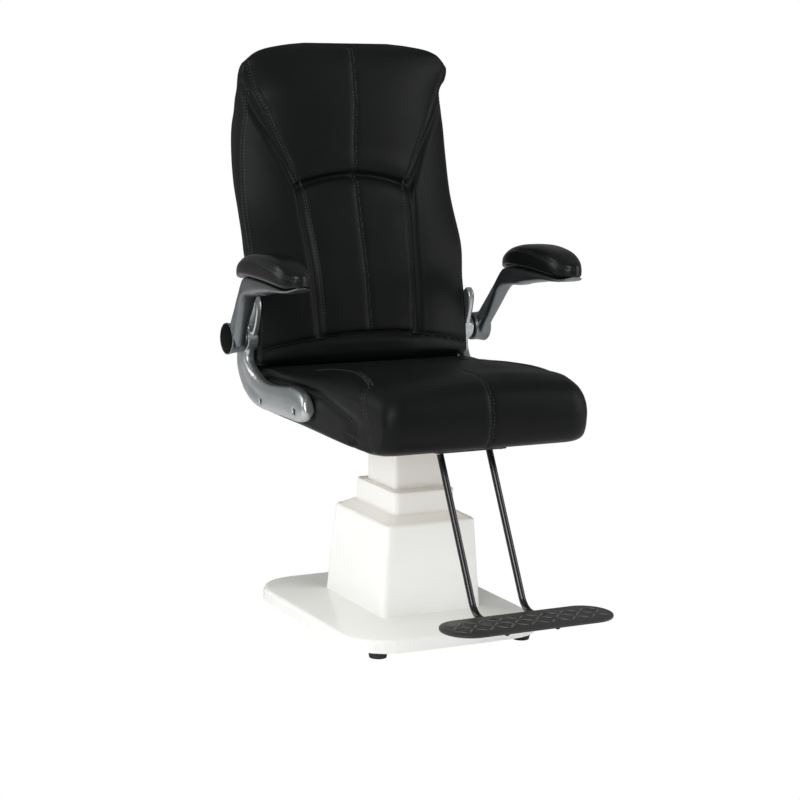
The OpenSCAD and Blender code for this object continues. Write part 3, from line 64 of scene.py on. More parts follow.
# %% Camera
TURN, LIFT, ROLL, BACK_OFF = math.radians(28.26), math.radians(10.25), math.radians(1.5), 4.8288
aim = Vector((-0.0712, AXIS_Y - 0.0982, 0.5353))
away = Vector((-math.sin(TURN) * math.cos(LIFT), -math.cos(TURN) * math.cos(LIFT), math.sin(LIFT)))
level = Vector((math.cos(TURN), -math.sin(TURN), 0))
upward = level.cross(-away)
side = level * math.cos(ROLL) + upward * math.sin(ROLL)
top = upward * math.cos(ROLL) - level * math.sin(ROLL)

camera_data = bpy.data.cameras.new("view")
camera_data.sensor_width = 36
camera_data.lens = 99
camera_data.clip_end = 50
camera = bpy.data.objects.new("view", camera_data)
bpy.context.scene.collection.objects.link(camera)
camera.matrix_world = Matrix((
    (side.x, top.x, away.x, aim.x + away.x * BACK_OFF),
    (side.y, top.y, away.y, aim.y + away.y * BACK_OFF),
    (side.z, top.z, away.z, aim.z + away.z * BACK_OFF),
    (0, 0, 0, 1),
))
bpy.context.scene.camera = camera
bpy.context.scene.view_settings.view_transform = "Standard"
print("camera", [round(v, 3) for v in camera.location])

# %% [markdown]
# ## A language for finishes
# A finish is a sum of masks and noises, so it reads best as arithmetic. The small class
# below wraps one socket of a node tree. Adding or multiplying two of them adds the Math
# node that does it, and every other node comes from one method. The nodes could be placed
# by hand in the editor, but written sums are shorter and easy to change.

# %% Wires and finishes
class Wire:
    """One socket of a node tree, with arithmetic."""

    def __init__(self, owner, socket):
        self.owner, self.socket = owner, socket

    def math(self, operation, first, second):
        return self.owner.node("ShaderNodeMath", {"operation": operation}, {0: first, 1: second})

    def __add__(self, other):
        return self.math("ADD", self, other)

    def __radd__(self, other):
        return self.math("ADD", other, self)

    def __mul__(self, other):
        return self.math("MULTIPLY", self, other)

    def __rmul__(self, other):
        return self.math("MULTIPLY", other, self)


class Nodes:
    """A node tree, to which one method adds every kind of node."""

    def __init__(self, tree):
        self.tree = tree

    def node(self, kind, settings, sockets, out=0):
        made = self.tree.nodes.new(kind)
        for key, value in settings.items():
            setattr(made, key, value)
        for key, value in sockets.items():
            if isinstance(value, Wire):
                self.tree.links.new(value.socket, made.inputs[key])
            else:
                made.inputs[key].default_value = value
        return Wire(self, made.outputs[out])


class Finish(Nodes):
    """A material whose surface is written as expressions on wires."""

    def __init__(self, name, **constants):
        self.material = bpy.data.materials.new(name)
        self.material.use_nodes = True
        super().__init__(self.material.node_tree)
        self.surface = self.tree.nodes["Principled BSDF"]
        for key, value in constants.items():
            self.surface.inputs[key.replace("_", " ")].default_value = value

    def feed(self, socket, wire):
        self.tree.links.new(wire.socket, self.surface.inputs[socket])

    def place(self):
        return self.node("ShaderNodeTexCoord", {}, {}, "Object")

    def noise(self, scale, detail=2.0):
        sockets = {"Vector": self.place(), "Scale": scale, "Detail": detail}
        return self.node("ShaderNodeTexNoise", {}, sockets)

    def cells(self, scale):
        sockets = {"Vector": self.place(), "Scale": scale}
        return self.node("ShaderNodeTexVoronoi", {"feature": "DISTANCE_TO_EDGE"}, sockets)

    def mix(self, share, first, second):
        return self.node("ShaderNodeMix", {"data_type": "RGBA"}, {0: share, 6: first, 7: second}, 2)

    def bump(self, height, strength, distance):
        sockets = {"Strength": strength, "Distance": distance, "Height": height}
        self.feed("Normal", self.node("ShaderNodeBump", {}, sockets))


def dress(finish, *names):
    """Gives nodes of the frame a finish."""
    for name in names:
        mesh = nodes[name].data
        mesh.materials.clear()
        mesh.materials.append(finish.material)

print("a finish is written as sums of wires")

# %% [markdown]
# ## Curves
# Upholstery is described as a sewer would: smooth sections over a length. A spline through
# the same rows would swing past them, so `curve` uses slopes that never overshoot, and a
# cushion stays inside its own size.

# %% Curves
def curve(*rows):
    """A smooth function through (place, value) rows that stays between neighbours."""
    x, y = np.array(rows, float).T
    gap = np.diff(x)
    rate = np.diff(y) / gap
    slope = np.concatenate([[rate[0]], np.zeros(len(x) - 2), [rate[-1]]])
    same = rate[1:] * rate[:-1] > 0
    both = np.where(same, rate[1:] + rate[:-1], 1)
    slope[1:-1] = np.where(same, 2 * rate[1:] * rate[:-1] / both, 0)

    def at(t):
        t = np.clip(t, x[0], x[-1])
        i = np.clip(np.searchsorted(x, t) - 1, 0, len(x) - 2)
        s = (t - x[i]) / gap[i]
        return (y[i] * (1 + 2 * s) * (1 - s) ** 2 + slope[i] * gap[i] * s * (1 - s) ** 2
                + y[i + 1] * s * s * (3 - 2 * s) - slope[i + 1] * gap[i] * s * s * (1 - s))
    return at


def bend(value, power):
    """A power that keeps its sign, which squares off a circle."""
    return np.sign(value) * np.abs(value) ** power


def step(value, low, high):
    """0 below low, 1 above high, and a smooth rise between them."""
    s = np.clip((value - low) / (high - low), 0, 1)
    return s * s * (3 - 2 * s)


print("halfway up a smooth rise:", float(step(0.5, 0, 1)))

# %% [markdown]
# ## Closed skins
# A padded cover has an inside and an outside, so each is one closed solid. It could be
# sculpted, but a stack of rings keeps its measures: `skin` joins the rings and closes both
# ends.

# %% Closed skins
def new_mesh(name, points, faces):
    mesh = bpy.data.meshes.new(name)
    mesh.from_pydata([tuple(p) for p in points], [], [tuple(f) for f in faces])
    mesh.update()
    mesh.polygons.foreach_set("use_smooth", [True] * len(mesh.polygons))
    made = bpy.data.objects.new(name, mesh)
    bpy.context.scene.collection.objects.link(made)
    return made


def skin(name, rings):
    """A closed solid over rings of points, each running the same way round."""
    count, around = rings.shape[:2]
    points = list(rings.reshape(-1, 3)) + [rings[0].mean(0), rings[-1].mean(0)]
    at = np.arange(count * around).reshape(count, around)
    ahead = np.roll(at, -1, axis=1)
    quads = np.stack([at[:-1], ahead[:-1], ahead[1:], at[1:]], -1).reshape(-1, 4)
    first = [(ahead[0, j], at[0, j], count * around) for j in range(around)]
    last = [(at[-1, j], ahead[-1, j], count * around + 1) for j in range(around)]
    made = new_mesh(name, points, list(map(tuple, quads)) + first + last)
    work = bmesh.new()
    work.from_mesh(made.data)
    bmesh.ops.recalc_face_normals(work, faces=work.faces)
    work.to_mesh(made.data)
    work.free()
    return made


print("a skin closes a stack of rings")

# %% [markdown]
# ## Seams
# A seam is where two panels are sewn and the cover is drawn into the foam. A bump in the
# finish would be flat in outline, so `sew` moves the cover's own points in along a line in
# space. It may let the cover swell on both sides of the line, as foam does under a pull.

# %% Seams
def places(made):
    flat = np.empty(len(made.data.vertices) * 3)
    made.data.vertices.foreach_get("co", flat)
    return flat.reshape(-1, 3)


def normals(made):
    flat = np.empty(len(made.data.vertices) * 3)
    made.data.vertices.foreach_get("normal", flat)
    return flat.reshape(-1, 3)


def move(made, points):
    made.data.vertices.foreach_set("co", np.asarray(points, float).ravel())
    made.data.update()


def away_from(points, path):
    """Distance of each point from a line of points in space."""
    path = np.asarray(path, float)
    best = np.full(len(points), np.inf)
    for a, b in zip(path[:-1], path[1:]):
        run = b - a
        share = np.clip((points - a) @ run / max(run @ run, 1e-12), 0, 1)
        best = np.minimum(best, np.linalg.norm(points - a - share[:, None] * run, axis=1))
    return best


def fine(path, pitch=0.004):
    """The same line with evenly spaced points, rounded where it turns."""
    path = np.asarray(path, float)
    along = np.concatenate([[0], np.cumsum(np.linalg.norm(np.diff(path, axis=0), axis=1))])
    even = np.linspace(0, along[-1], max(int(along[-1] / pitch), 2) + 1)
    return np.stack([curve(*zip(along, path[:, k]))(even) for k in range(3)], -1)


def sew(made, paths, depth, width, puff=0.0):
    """Pulls the cover in along each line, and lets it swell a little on both sides."""
    points, out = places(made), normals(made)
    pull, swell = np.zeros(len(points)), np.zeros(len(points))
    for path in paths:
        d = away_from(points, path)
        pull = np.maximum(pull, np.exp(-(d / width) ** 1.4) * depth)
        swell = np.maximum(swell, puff * np.exp(-((d - 3.2 * width) / (1.6 * width)) ** 2))
    move(made, points - out * (pull - swell * (pull < depth / 4))[:, None])


print("a seam pulls points in along a line")

# %% [markdown]
# ## Thread and piping
# Real stitches stand on the cover, so they catch the light and cast small shadows. Each is
# a short closed tube, laid on whatever surface is nearest to its line.

# %% Thread and piping
def on_surface(made, path):
    """Each point of a line moved to the surface, and the surface's normal there."""
    tree = BVHTree.FromPolygons([v.co for v in made.data.vertices],
                                [p.vertices for p in made.data.polygons])
    hits = [tree.find_nearest(Vector(p)) for p in path]
    return np.array([h[0] for h in hits]), np.array([h[1] for h in hits])


def beads(name, spans, radius):
    """Short threads or round cords: a closed tube for each list of points."""
    sides, points, faces = 6, [], []
    for line, out in spans:
        base = len(points)
        run = np.gradient(line, axis=0)
        run /= np.maximum(np.linalg.norm(run, axis=1), 1e-9)[:, None]
        across = np.cross(run, out)
        across /= np.maximum(np.linalg.norm(across, axis=1), 1e-9)[:, None]
        up = np.cross(across, run)
        for k in range(len(line)):
            size = radius * (0.45 if k in (0, len(line) - 1) else 1)
            for j in range(sides):
                a = 2 * math.pi * j / sides
                points.append(line[k] + size * (math.cos(a) * across[k] + math.sin(a) * up[k]))
        for k in range(len(line) - 1):
            for j in range(sides):
                a, b = base + k * sides + j, base + k * sides + (j + 1) % sides
                faces.append((a, b, b + sides, a + sides))
        last = base + (len(line) - 1) * sides
        faces.append(tuple(base + j for j in range(sides))[::-1])
        faces.append(tuple(last + j for j in range(sides)))
    return new_mesh(name, points, faces)


def stitch(name, made, paths, rows=(-0.0028, 0.0028), pitch=0.0075, radius=0.0006):
    """Rows of thread beside each seam line, laid on the cover."""
    spans = []
    for path in paths:
        line, out = on_surface(made, fine(path, pitch / 3))
        run = np.gradient(line, axis=0)
        run /= np.maximum(np.linalg.norm(run, axis=1), 1e-9)[:, None]
        across = np.cross(run, out)
        for row in rows:
            beside, lift = on_surface(made, line + across * row)
            for k in range(0, len(beside) - 2, 3):
                some = beside[k:k + 3] + lift[k:k + 3] * radius * np.array([[-0.5], [0.6], [-0.5]])
                spans.append((some, lift[k:k + 3]))
    return beads(name, spans, radius)


def pipe(name, made, paths, radius):
    """A covered cord along each line, half sunk in the cover."""
    spans = []
    for path in paths:
        line, out = on_surface(made, fine(path, 0.006))
        spans.append((line + out * radius * 0.2, out))
    return beads(name, spans, radius)

print("thread and piping are laid on the nearest surface")

# %% [markdown]
# ## The back
# The front of the back is one sewn cover: a tall middle panel, a head panel that flares
# out above it, and a wing on each side. Its depth is read from a section down the middle,
# a gentler section for the wings, and a setback that rounds the face towards its sides.

# %% Measures of the back
base_low, base_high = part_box("back_cushion")
BACK_Z, BACK_H = base_low.z, base_high.z - base_low.z
BACK_HALF = base_high.x
LOW_HALF = BACK_HALF * 0.971
ROLL_H, ROLL_DROP, BLEND_H = 0.067, 0.028, 0.08


def up(z):
    """Height above the floor, in mm at full size, as a share of the back's height."""
    return (z * MM - BACK_Z) / BACK_H


middle = curve(*[(up(z), y * MM) for z, y in (
    (573, 193), (585, 185), (600, 181.5), (620, 182), (630, 184.5), (637, 189), (645, 187), (703, 198),
    (783, 216), (892, 252.5), (945, 269), (966, 274.5), (978, 279), (986, 285), (992, 293), (996, 297),
    (1002, 293), (1014, 288), (1034, 286), (1065, 289), (1120, 289), (1167, 290.5), (1217, 300),
    (1255, 309), (1280, 320), (1297, 342))])
wing = curve(*[(up(z), y * MM) for z, y in (
    (573, 193), (600, 181.5), (637, 186), (703, 198), (783, 216), (892, 250), (993, 276),
    (1065, 288), (1167, 292), (1217, 302), (1255, 311), (1280, 322), (1297, 342))])
setback = curve((0, 0.026), (0.08, 0.0215), (0.2, 0.026), (0.36, 0.031), (0.53, 0.0485),
                (0.84, 0.05), (0.93, 0.024), (1, 0.005))
rear = curve(*[(up(z), y * MM) for z, y in (
    (573, 257), (616, 272), (696, 284), (841, 315), (913, 351), (978, 387), (1044, 407.6), (1109, 419.9),
    (1152, 416.7), (1217, 385.2), (1261, 369), (1297, 358.2))])
half = curve((0, 0.996 * LOW_HALF), (0.012, LOW_HALF), (0.24, LOW_HALF),
             *[(h, BACK_HALF * w) for h, w in ((0.36, 1), (0.47, 0.988), (0.56, 0.976),
               (0.65, 0.966), (0.74, 0.944), (0.79, 0.928), (0.84, 0.932), (0.9, 0.955), (0.925, 0.948),
               (0.95, 0.89), (0.965, 0.845), (0.98, 0.755), (0.994, 0.55), (1, 0.38))])
crease = curve((up(573), 0.123), (up(638), 0.125), (up(715), 0.128), (up(783), 0.13), (up(850), 0.134),
               (up(910), 0.14), (up(961), 0.143), (up(980), 0.15), (up(1030), 0.173), (up(1082), 0.202),
               (up(1130), 0.232), (up(1172), 0.253), (up(1200), 0.266), (up(1297), 0.33))
COVER_T = 0.022
HEM_HALF = 0.985 * LOW_HALF
ARCH_DROP, ARCH_HALF = 0.027, 0.143


def split(h):
    return np.maximum(rear(h) - COVER_T, middle(h) + 0.35 * COVER_T)


def roll_top(x):
    """Height of the lower roll's seam above the back's lower edge: it drops at the sides."""
    return ROLL_H - ROLL_DROP * np.minimum(np.abs(x) / 0.25, 1.05) ** 2


def unbent(x, h):
    """The share of height whose section is used at a place, so that the seam can curve."""
    tall, seam = h * BACK_H, roll_top(x)
    above = np.minimum((tall - seam) / (BLEND_H + ROLL_H - seam), 1)
    upper = np.where(above < 1, ROLL_H + above * BLEND_H, tall)
    return np.where(tall < seam, tall * ROLL_H / seam, upper) / BACK_H


def front_y(x, h):
    """Depth of the front cover at a place across and a share of the height."""
    side = np.abs(x)
    h = unbent(x, h)
    near_arch = step(h, up(900), up(960)) * (1 - step(h, up(1010), up(1100)))
    arch = ARCH_DROP * np.minimum(side / ARCH_HALF, 1) ** 2 * near_arch
    inside = 1 - step(side - crease(h), -0.012, 0.012)
    deep = inside * middle(h + arch / BACK_H) + (1 - inside) * wing(h)
    return AXIS_Y + deep + setback(h) * (side / half(h)) ** 3.2


def meeting(h):
    """Depth of the plane where the front cover and the rear cover meet."""
    return np.maximum(AXIS_Y + split(h), front_y(-half(h), h) + 0.002)


def front_line(x_of, heights):
    return [(x, front_y(x, h), BACK_Z + h * BACK_H) for x, h in zip(x_of, heights)]

print("back", round(BACK_H, 3), "m high,", round(2 * BACK_HALF, 3), "m wide")

# %% [markdown]
# ## The two skins of the back
# The real cover is sewn round a board, with a front panel and a rear one. Two closed skins
# meet in one plane here, because one skin all round would pull its points thin at the
# edges. The rear one hangs down behind the seat, as the hem does.

# %% Back skins
SIDE_BULGE = 0.003
levels = np.unique(np.concatenate([
    np.linspace(0, 0.955, 172), np.linspace(0.955, 1, 26), np.linspace(0, 0.02, 6)]))
spread = np.sin(np.linspace(-1, 1, 145) * math.pi / 2) * 0.35 + np.linspace(-1, 1, 145) * 0.65
rings = []
for h in levels:
    z = BACK_Z + h * BACK_H
    edge = half(h)
    x = spread * edge
    y = front_y(x, h)
    flat = meeting(h)
    side = np.linspace(0, 1, 9)[1:]
    bulge = SIDE_BULGE * np.sin(side * math.pi) * step(h, 0.3, 0.4)
    right = np.stack([edge + bulge, y[-1] + (flat - y[-1]) * side, 0 * side + z], -1)
    left = right[::-1] * [-1, 1, 1]
    rings.append(np.concatenate([np.stack([x, y, 0 * x + z], -1), right,
                                 [(edge * s, flat, z) for s in (0.5, 0, -0.5)], left]))
back_front = skin("back_front", np.array(rings))

# Each row of the hem is a drop below the back's lower edge and a share of the full depth.
HEM = [(0.022, 0.6), (0.021, 0.8), (0.018, 0.95), (0.010, 1.0), (0.001, 1.0)]
HEM_Y, STAND_PROUD = 0.2385, 0.0095
rings = []
for h, drop, full in [(0, d, f) for d, f in HEM] + [(h, 0, 1) for h in levels[::2]]:
    z, edge = BACK_Z + h * BACK_H - drop, half(h) if drop == 0 else HEM_HALF
    near = meeting(h) + 0.0003 if drop == 0 else AXIS_Y + HEM_Y
    square = 0.36 + 0.26 * step(h, 0.02, 0.12)
    live = min(1, 8 * h, 8 * (1 - h))
    depth = max(AXIS_Y + rear(h) - near, 0.003) * full + STAND_PROUD * live
    a = np.linspace(0, math.pi, 61)
    rings.append(np.concatenate([
        np.stack([edge * bend(np.cos(a), 0.42), near + depth * bend(np.sin(a), square), 0 * a + z], -1),
        [(edge * s, near, z) for s in (-0.5, 0, 0.5)]]))
back_rear = skin("back_rear", np.array(rings))
print("back_front", len(back_front.data.vertices), "back_rear", len(back_rear.data.vertices), "points")

# %% [markdown]
# ## The seams of the back
# The cover has two deep creases beside the middle panel, an arch under the head panel, a
# flare up to each shoulder, one seam down the centre and one over the lower roll. Each is
# a line on the cover's own surface, so that it keeps its place if the back's form changes.
# The wide shallow pull comes first and the narrow deep one after it, as in the real foam.

# %% Seams of the back
def mirrored(path):
    return [(-x, y, z) for x, y, z in path]


def both(path):
    return [path, mirrored(path)]

crease_hs = np.linspace(up(640), up(1196), 62)
crease_line = fine(front_line(crease(crease_hs), crease_hs), 0.008)
arch_xs = np.linspace(-0.146, 0.146, 25)
arch_hs = up(995) - ARCH_DROP * (arch_xs / ARCH_HALF) ** 2 / BACK_H
arch_line = fine(front_line(arch_xs, arch_hs), 0.008)
flare_line = fine([(x * MM, front_y(x * MM, up(z)), z * MM) for x, z in (
    (147, 988), (161, 1025), (176, 1060), (194, 1096), (213, 1146), (241, 1204), (253, 1236),
    (262, 1262))], 0.008)
centre_hs = np.concatenate([np.linspace(up(652), up(985), 30), np.linspace(up(995), up(1290), 26)])
centre_line = fine(front_line(0 * centre_hs, centre_hs), 0.01)
band_xs = np.linspace(-0.258, 0.258, 61)
band_line = fine(front_line(band_xs, roll_top(band_xs) / BACK_H), 0.008)
side_hs = np.linspace(up(650), up(1192), 60)
side_xs = half(side_hs) - 0.002
side_line = fine(list(zip(side_xs, front_y(side_xs, side_hs), BACK_Z + side_hs * BACK_H)), 0.01)

sew(back_front, both(crease_line), 0.006, 0.020)
sew(back_front, both(crease_line), 0.008, 0.0052, puff=0.0012)
sew(back_front, [arch_line], 0.007, 0.006)
sew(back_front, [centre_line], 0.0032, 0.006)
sew(back_front, both(flare_line), 0.0028, 0.006)
sew(back_front, [band_line], 0.005, 0.005)
print("sewed the back")

# %% [markdown]
# ## The seat
# The seat is a box cushion with a rolled front. It could be a swollen box, but the rolled
# front and the level rear need their own heights. So one outline in the side plane is
# carried across the width, and it draws in towards the sides like the arc of a circle.

# %% Measures of the seat
SEAT_OUTLINE = [
    (0, 462), (-200, 462), (-304, 462), (-342, 467), (-366, 480), (-378, 507), (-380, 531),
    (-376, 558), (-361, 585), (-335, 600), (-289, 607), (-201, 607), (-99, 602), (28, 589),
    (120, 581), (168, 576.5), (185, 573.5), (193, 571), (212, 567), (228, 560), (236, 545),
    (236, 500), (236, 471), (226, 463), (106, 462), (0, 462)]
seat_low, seat_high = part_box("seat_cushion")
# FRONT and REAR lie before and behind the column's axis. The side starts to round at the
# share SIDE_FROM of the half width, over the heights UNDER and OVER, and goes in by DRAW.
# CROWN raises the middle, DISH hollows it and FALL drops the sides. The first two fade out
# over LEVEL_RUN, which stops at LEVEL_END. LOW_R lifts the lower edge, more at the rear,
# and the rings that close a side shrink towards CORE_Y and CORE_Z.
FRONT, REAR = 0.380, 0.236
SEAT_HALF, FRONT_HALF, TAPER_END = seat_high.x, 0.247, 0.11
SIDE_FROM, SIDE_ROUND = 0.8, 2.2
UNDER, OVER, DRAW = 0.068, 0.083, 0.045
CROWN, DISH, FALL = 0.015, 0.006, 0.009
LEVEL_END, LEVEL_RUN = 0.177, 0.118
LOW_R, LOW_R_FROM, LOW_R_RUN = 0.011, 0.217, 0.243
CORE_Y, CORE_Z = -0.06, 0.525
loop = np.array(SEAT_OUTLINE) * MM
along = np.concatenate([[0], np.cumsum(np.linalg.norm(np.diff(loop, axis=0), axis=1))])
even = np.linspace(0, along[-1], 261)[:-1]
side_y = curve(*zip(along, loop[:, 0]))(even)
side_z = curve(*zip(along, loop[:, 1]))(even)


def seat_half(y):
    """Half the seat's width at a place along it: it widens from the front to the rear."""
    t = np.clip((y + FRONT) / (FRONT - TAPER_END), 0, 1)
    return FRONT_HALF + (SEAT_HALF - FRONT_HALF) * t * (2 - t)

print("seat", round(2 * SEAT_HALF, 3), "m wide at the rear,", 2 * FRONT_HALF, "at the front")

# %% [markdown]
# ## The seat's skin
# The foam is crowned, dished a little where the sitter sits, and falls off at its sides.
# Each of these is one term of the ring below, so that one can be changed without the rest.

# %% Seat skin
def seat_ring(share, shrink=1.0):
    """The outline at a share of the half width; past the side it shrinks to close it."""
    s = abs(share)
    q = np.clip((s - SIDE_FROM) / (1 - SIDE_FROM), 0, 1)
    draw = 1 - math.sqrt(max(1 - q ** SIDE_ROUND, 0))
    mid = seat_low.z + UNDER
    above = np.clip((side_z - mid) / OVER, 0, 1)
    below = np.clip((mid - side_z) / UNDER, 0, 1)
    run = (side_y + FRONT) / (FRONT + REAR)
    level = np.clip((LEVEL_END - side_y) / LEVEL_RUN, 0, 1)
    low_r = LOW_R + LOW_R * np.clip((side_y + LOW_R_FROM) / LOW_R_RUN, 0, 1)
    fall = FALL * s ** 5 * (1 - step(side_y, 0.08, 0.19)) * (0.45 + 0.55 * step(side_y, -0.3, 0.0))
    crown = level * CROWN * (1 - share * share)
    dish = DISH * (1 - step(s, 0.62, 0.76)) * step(side_y, -0.13, -0.02) * level
    lower = crown - dish - fall - draw * DRAW * (1 - 0.93 * run)
    z = side_z + above * lower + below * draw * low_r
    ends = np.where(side_y < 0, 0.6 * (side_y / FRONT) ** 4, -0.2 * (side_y / REAR) ** 4)
    y = side_y + draw * DRAW * ends
    y = CORE_Y + (y - CORE_Y) * shrink
    z = CORE_Z + (z - CORE_Z) * shrink
    return np.stack([share * seat_half(y), AXIS_Y + y, z], -1)

rounding = SIDE_FROM + (1 - SIDE_FROM) * np.sin(np.linspace(0, 1, 22) * math.pi / 2)
shares = np.concatenate([np.linspace(0, SIDE_FROM, 43)[:-1], rounding])
shares = np.concatenate([-shares[::-1], shares[1:]])
closing = [0.97, 0.93, 0.87, 0.8, 0.72, 0.64, 0.56, 0.48, 0.4, 0.32, 0.24, 0.16, 0.08]
first_side = [seat_ring(-1, c) for c in closing[::-1]]
last_side = [seat_ring(1, c) for c in closing]
seat = skin("seat_cover", np.array(first_side + [seat_ring(s) for s in shares] + last_side))
print("seat", len(seat.data.vertices), "points")

# %% [markdown]
# ## The seams of the seat
# A crescent on each side of the top draws the cover in, a seam runs along each side and
# round each front corner, and one goes over the rolled front. They are lines in space and
# not cuts in the mesh, so the rings stay even.

# %% Seams of the seat
CRESCENT_Z = 0.612
side_seam = fine([(seat_half(y * MM) - 0.001, AXIS_Y + y * MM, z * MM) for y, z in (
    (232, 547), (157, 551), (80, 555), (-5, 558), (-83, 558), (-144, 550), (-190, 539),
    (-225, 532), (-246, 524), (-247, 508), (-243, 492), (-240, 470))], 0.008)
corner_seam = fine([(x * MM, AXIS_Y + y * MM, z * MM) for x, y, z in (
    (236, -262, 596), (243, -276, 575), (243, -296, 540), (243, -308, 505), (243, -316, 474))], 0.008)
crescent = fine([(x * MM, AXIS_Y + y * MM, CRESCENT_Z) for x, y in (
    (222, 20), (204, -2), (190, -14), (182, -39), (182, -81), (197, -158), (222, -240),
    (236, -262))], 0.01)
front_seam = fine([(0, AXIS_Y + y * MM, z * MM) for y, z in (
    (-250, 622), (-300, 620), (-345, 608), (-372, 580), (-381, 540), (-379, 505), (-366, 480))], 0.008)
sew(seat, both(side_seam), 0.005, 0.006)
sew(seat, both(corner_seam), 0.005, 0.006, puff=0.0006)
sew(seat, both(crescent), 0.009, 0.008, puff=0.0008)
sew(seat, [front_seam], 0.003, 0.005)
print("sewed the seat")

# %% [markdown]
# ## The armrest pads
# Each pad is a crowned loaf on the lever's curved bed, thicker towards the front. It could
# be a rounded box that is bent, but then its sole would miss the bed. Its rings stand on
# the bed's own curve instead, and a seam runs round them all.

# %% Pads
bed = curve(*[(y * MM, z * MM) for y, z in (
    (-150, 800.3), (-143, 796.3), (-125, 791.9), (-90, 794.1), (-45, 796.8), (-5, 797.9),
    (40, 798), (84, 796.9), (124, 790.3), (145, 784.5), (168, 778.4))])
rise = curve((0, 0.6), (0.1, 0.69), (0.2, 0.78), (0.32, 0.89), (0.48, 0.98), (0.62, 1.02),
             (0.78, 1), (0.9, 0.92), (1, 0.76))
PAD_T, PAD_SQUARE, OFF_BED = 0.059, 4.2, 0.0004
WAIST = 0.42


def pad_ring(share, x0, rear_y, length, width, turns):
    """One section of a pad, at a share of its length from the rear."""
    y = rear_y - length * share
    plan = math.sqrt(max(1 - abs(2 * share - 1) ** PAD_SQUARE, 0.0006))
    wide = width / 2 * plan * (0.93 + 0.07 * share)
    tall = PAD_T * rise(share) * (0.4 + 0.6 * plan)
    sole = WAIST * (1 + bend(np.sin(turns), 0.35))
    crown = WAIST + (1 - WAIST) * bend(np.sin(turns), 0.8)
    lift = np.where(np.sin(turns) < 0, sole, crown)
    x = x0 + wide * bend(np.cos(turns), 0.6)
    return np.stack([x, AXIS_Y + y + 0 * turns, bed(y) + OFF_BED + lift * tall], -1)

pads = {}
for side_name in ("right", "left"):
    low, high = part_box(f"{side_name}_pad")
    x0 = (low.x + high.x) / 2
    measures = (x0, high.y - AXIS_Y, high.y - low.y, high.x - low.x)
    stations = (1 - np.cos(np.linspace(0, math.pi, 61))) / 2
    turns = np.linspace(0, 2 * math.pi, 73)[:-1]
    rings = [pad_ring(s, *measures, turns) for s in stations]
    pad = skin(f"{side_name}_pad_cover", np.array(rings))
    rail = []
    for s in np.linspace(0.03, 0.97, 48):
        angle = math.radians(42 - 26 * step(s, 0.1, 0.75))
        rail.append(pad_ring(s, *measures, np.array([angle]))[0])
    far = [(2 * x0 - p[0], p[1], p[2]) for p in rail[::-1]]
    seam = fine(rail + far + rail[:1], 0.006)
    sew(pad, [seam], 0.0015, 0.003)
    pads[side_name] = (pad, seam)
print("pads", [len(pad.data.vertices) for pad, seam in pads.values()])

# %% [markdown]
# ## Thread and welt
# Thread and welt come last of the sewing, because they are laid on the finished covers.
# Most seams have two rows, one on each side. The creases' rows lie inside the middle
# panel, where the maker topstitched it, and a welt covers the seam over the lower roll.

# %% Thread and welt
TWO_ROWS = (-0.0045, 0.0045)
INSIDE = 0.011
creases = []
for line in both(crease_line):
    creases.append(fine([(x - INSIDE if x > 0 else x + INSIDE, y, z) for x, y, z in line[6:-30]]))
sewn = [
    ("back_thread_creases", back_front, creases, (-0.0028, 0.0028)),
    ("back_thread_flares", back_front, both(flare_line), (-0.003, 0.003)),
    ("back_thread_centre", back_front, [centre_line], TWO_ROWS),
    ("back_thread_sides", back_front, both(side_line), (-0.004, 0.004)),
    ("seat_thread_sides", seat, both(side_seam), (0.005,)),
    ("seat_thread_corners", seat, both(corner_seam), TWO_ROWS),
    ("seat_thread_top", seat, both(crescent), TWO_ROWS),
    ("seat_thread_front", seat, [front_seam], TWO_ROWS),
]
lift_threads = [stitch(name, cover, lines, rows) for name, cover, lines, rows in sewn]
band_welt = pipe("back_band_welt", back_front, [band_line], 0.0022)
pad_threads = []
for side_name, (pad, seam) in pads.items():
    rows = (-0.0026, 0.0026)
    pad_threads.append(stitch(f"{side_name}_pad_thread", pad, [seam], rows, 0.006, 0.0005))
threads = lift_threads + pad_threads
print(len(threads), "rows of thread")

# %% [markdown]
# ## Pockets
# The real foam is cut out for the plywood and the plates inside it, so the covers may not
# fill their room. A hollow cover would leave far more room than the foam does, so a Boolean
# modifier cuts out just the pieces' own shapes. It comes after the sewing, which needs the
# even rings.

# %% Pockets
def cutter_of(name):
    """A closed copy of a rigid piece, whose split edges are joined again."""
    mesh = nodes[name].data.copy()
    work = bmesh.new()
    work.from_mesh(mesh)
    bmesh.ops.remove_doubles(work, verts=work.verts, dist=1e-6)
    work.to_mesh(mesh)
    work.free()
    made = bpy.data.objects.new(f"{name}_cutter", mesh)
    bpy.context.scene.collection.objects.link(made)
    made.matrix_world = nodes[name].matrix_world
    return made


def pocket(cover, *supports):
    """Leaves room in a cover for the rigid pieces inside it, as the frame's cushion does."""
    cutters = [cutter_of(name) for name in supports]
    for cutter in cutters:
        cut = cover.modifiers.new(cutter.name, "BOOLEAN")
        cut.operation, cut.solver, cut.object = "DIFFERENCE", "MANIFOLD", cutter
    before = len(cover.data.vertices)
    view = cover.evaluated_get(bpy.context.evaluated_depsgraph_get())
    cover.data = bpy.data.meshes.new_from_object(view)
    cover.modifiers.clear()
    cover.data.materials.clear()
    for cutter in cutters:
        bpy.data.objects.remove(cutter)
    print(cover.name, before, "points before its pockets,", len(cover.data.vertices), "after")

pocket(seat, "seat_pan", "seat_side_plates", "bracket_bolts", "seat_plate_bolts")
pocket(back_front, "back_frame", "bracket_bolts")
pocket(back_rear, "back_frame")

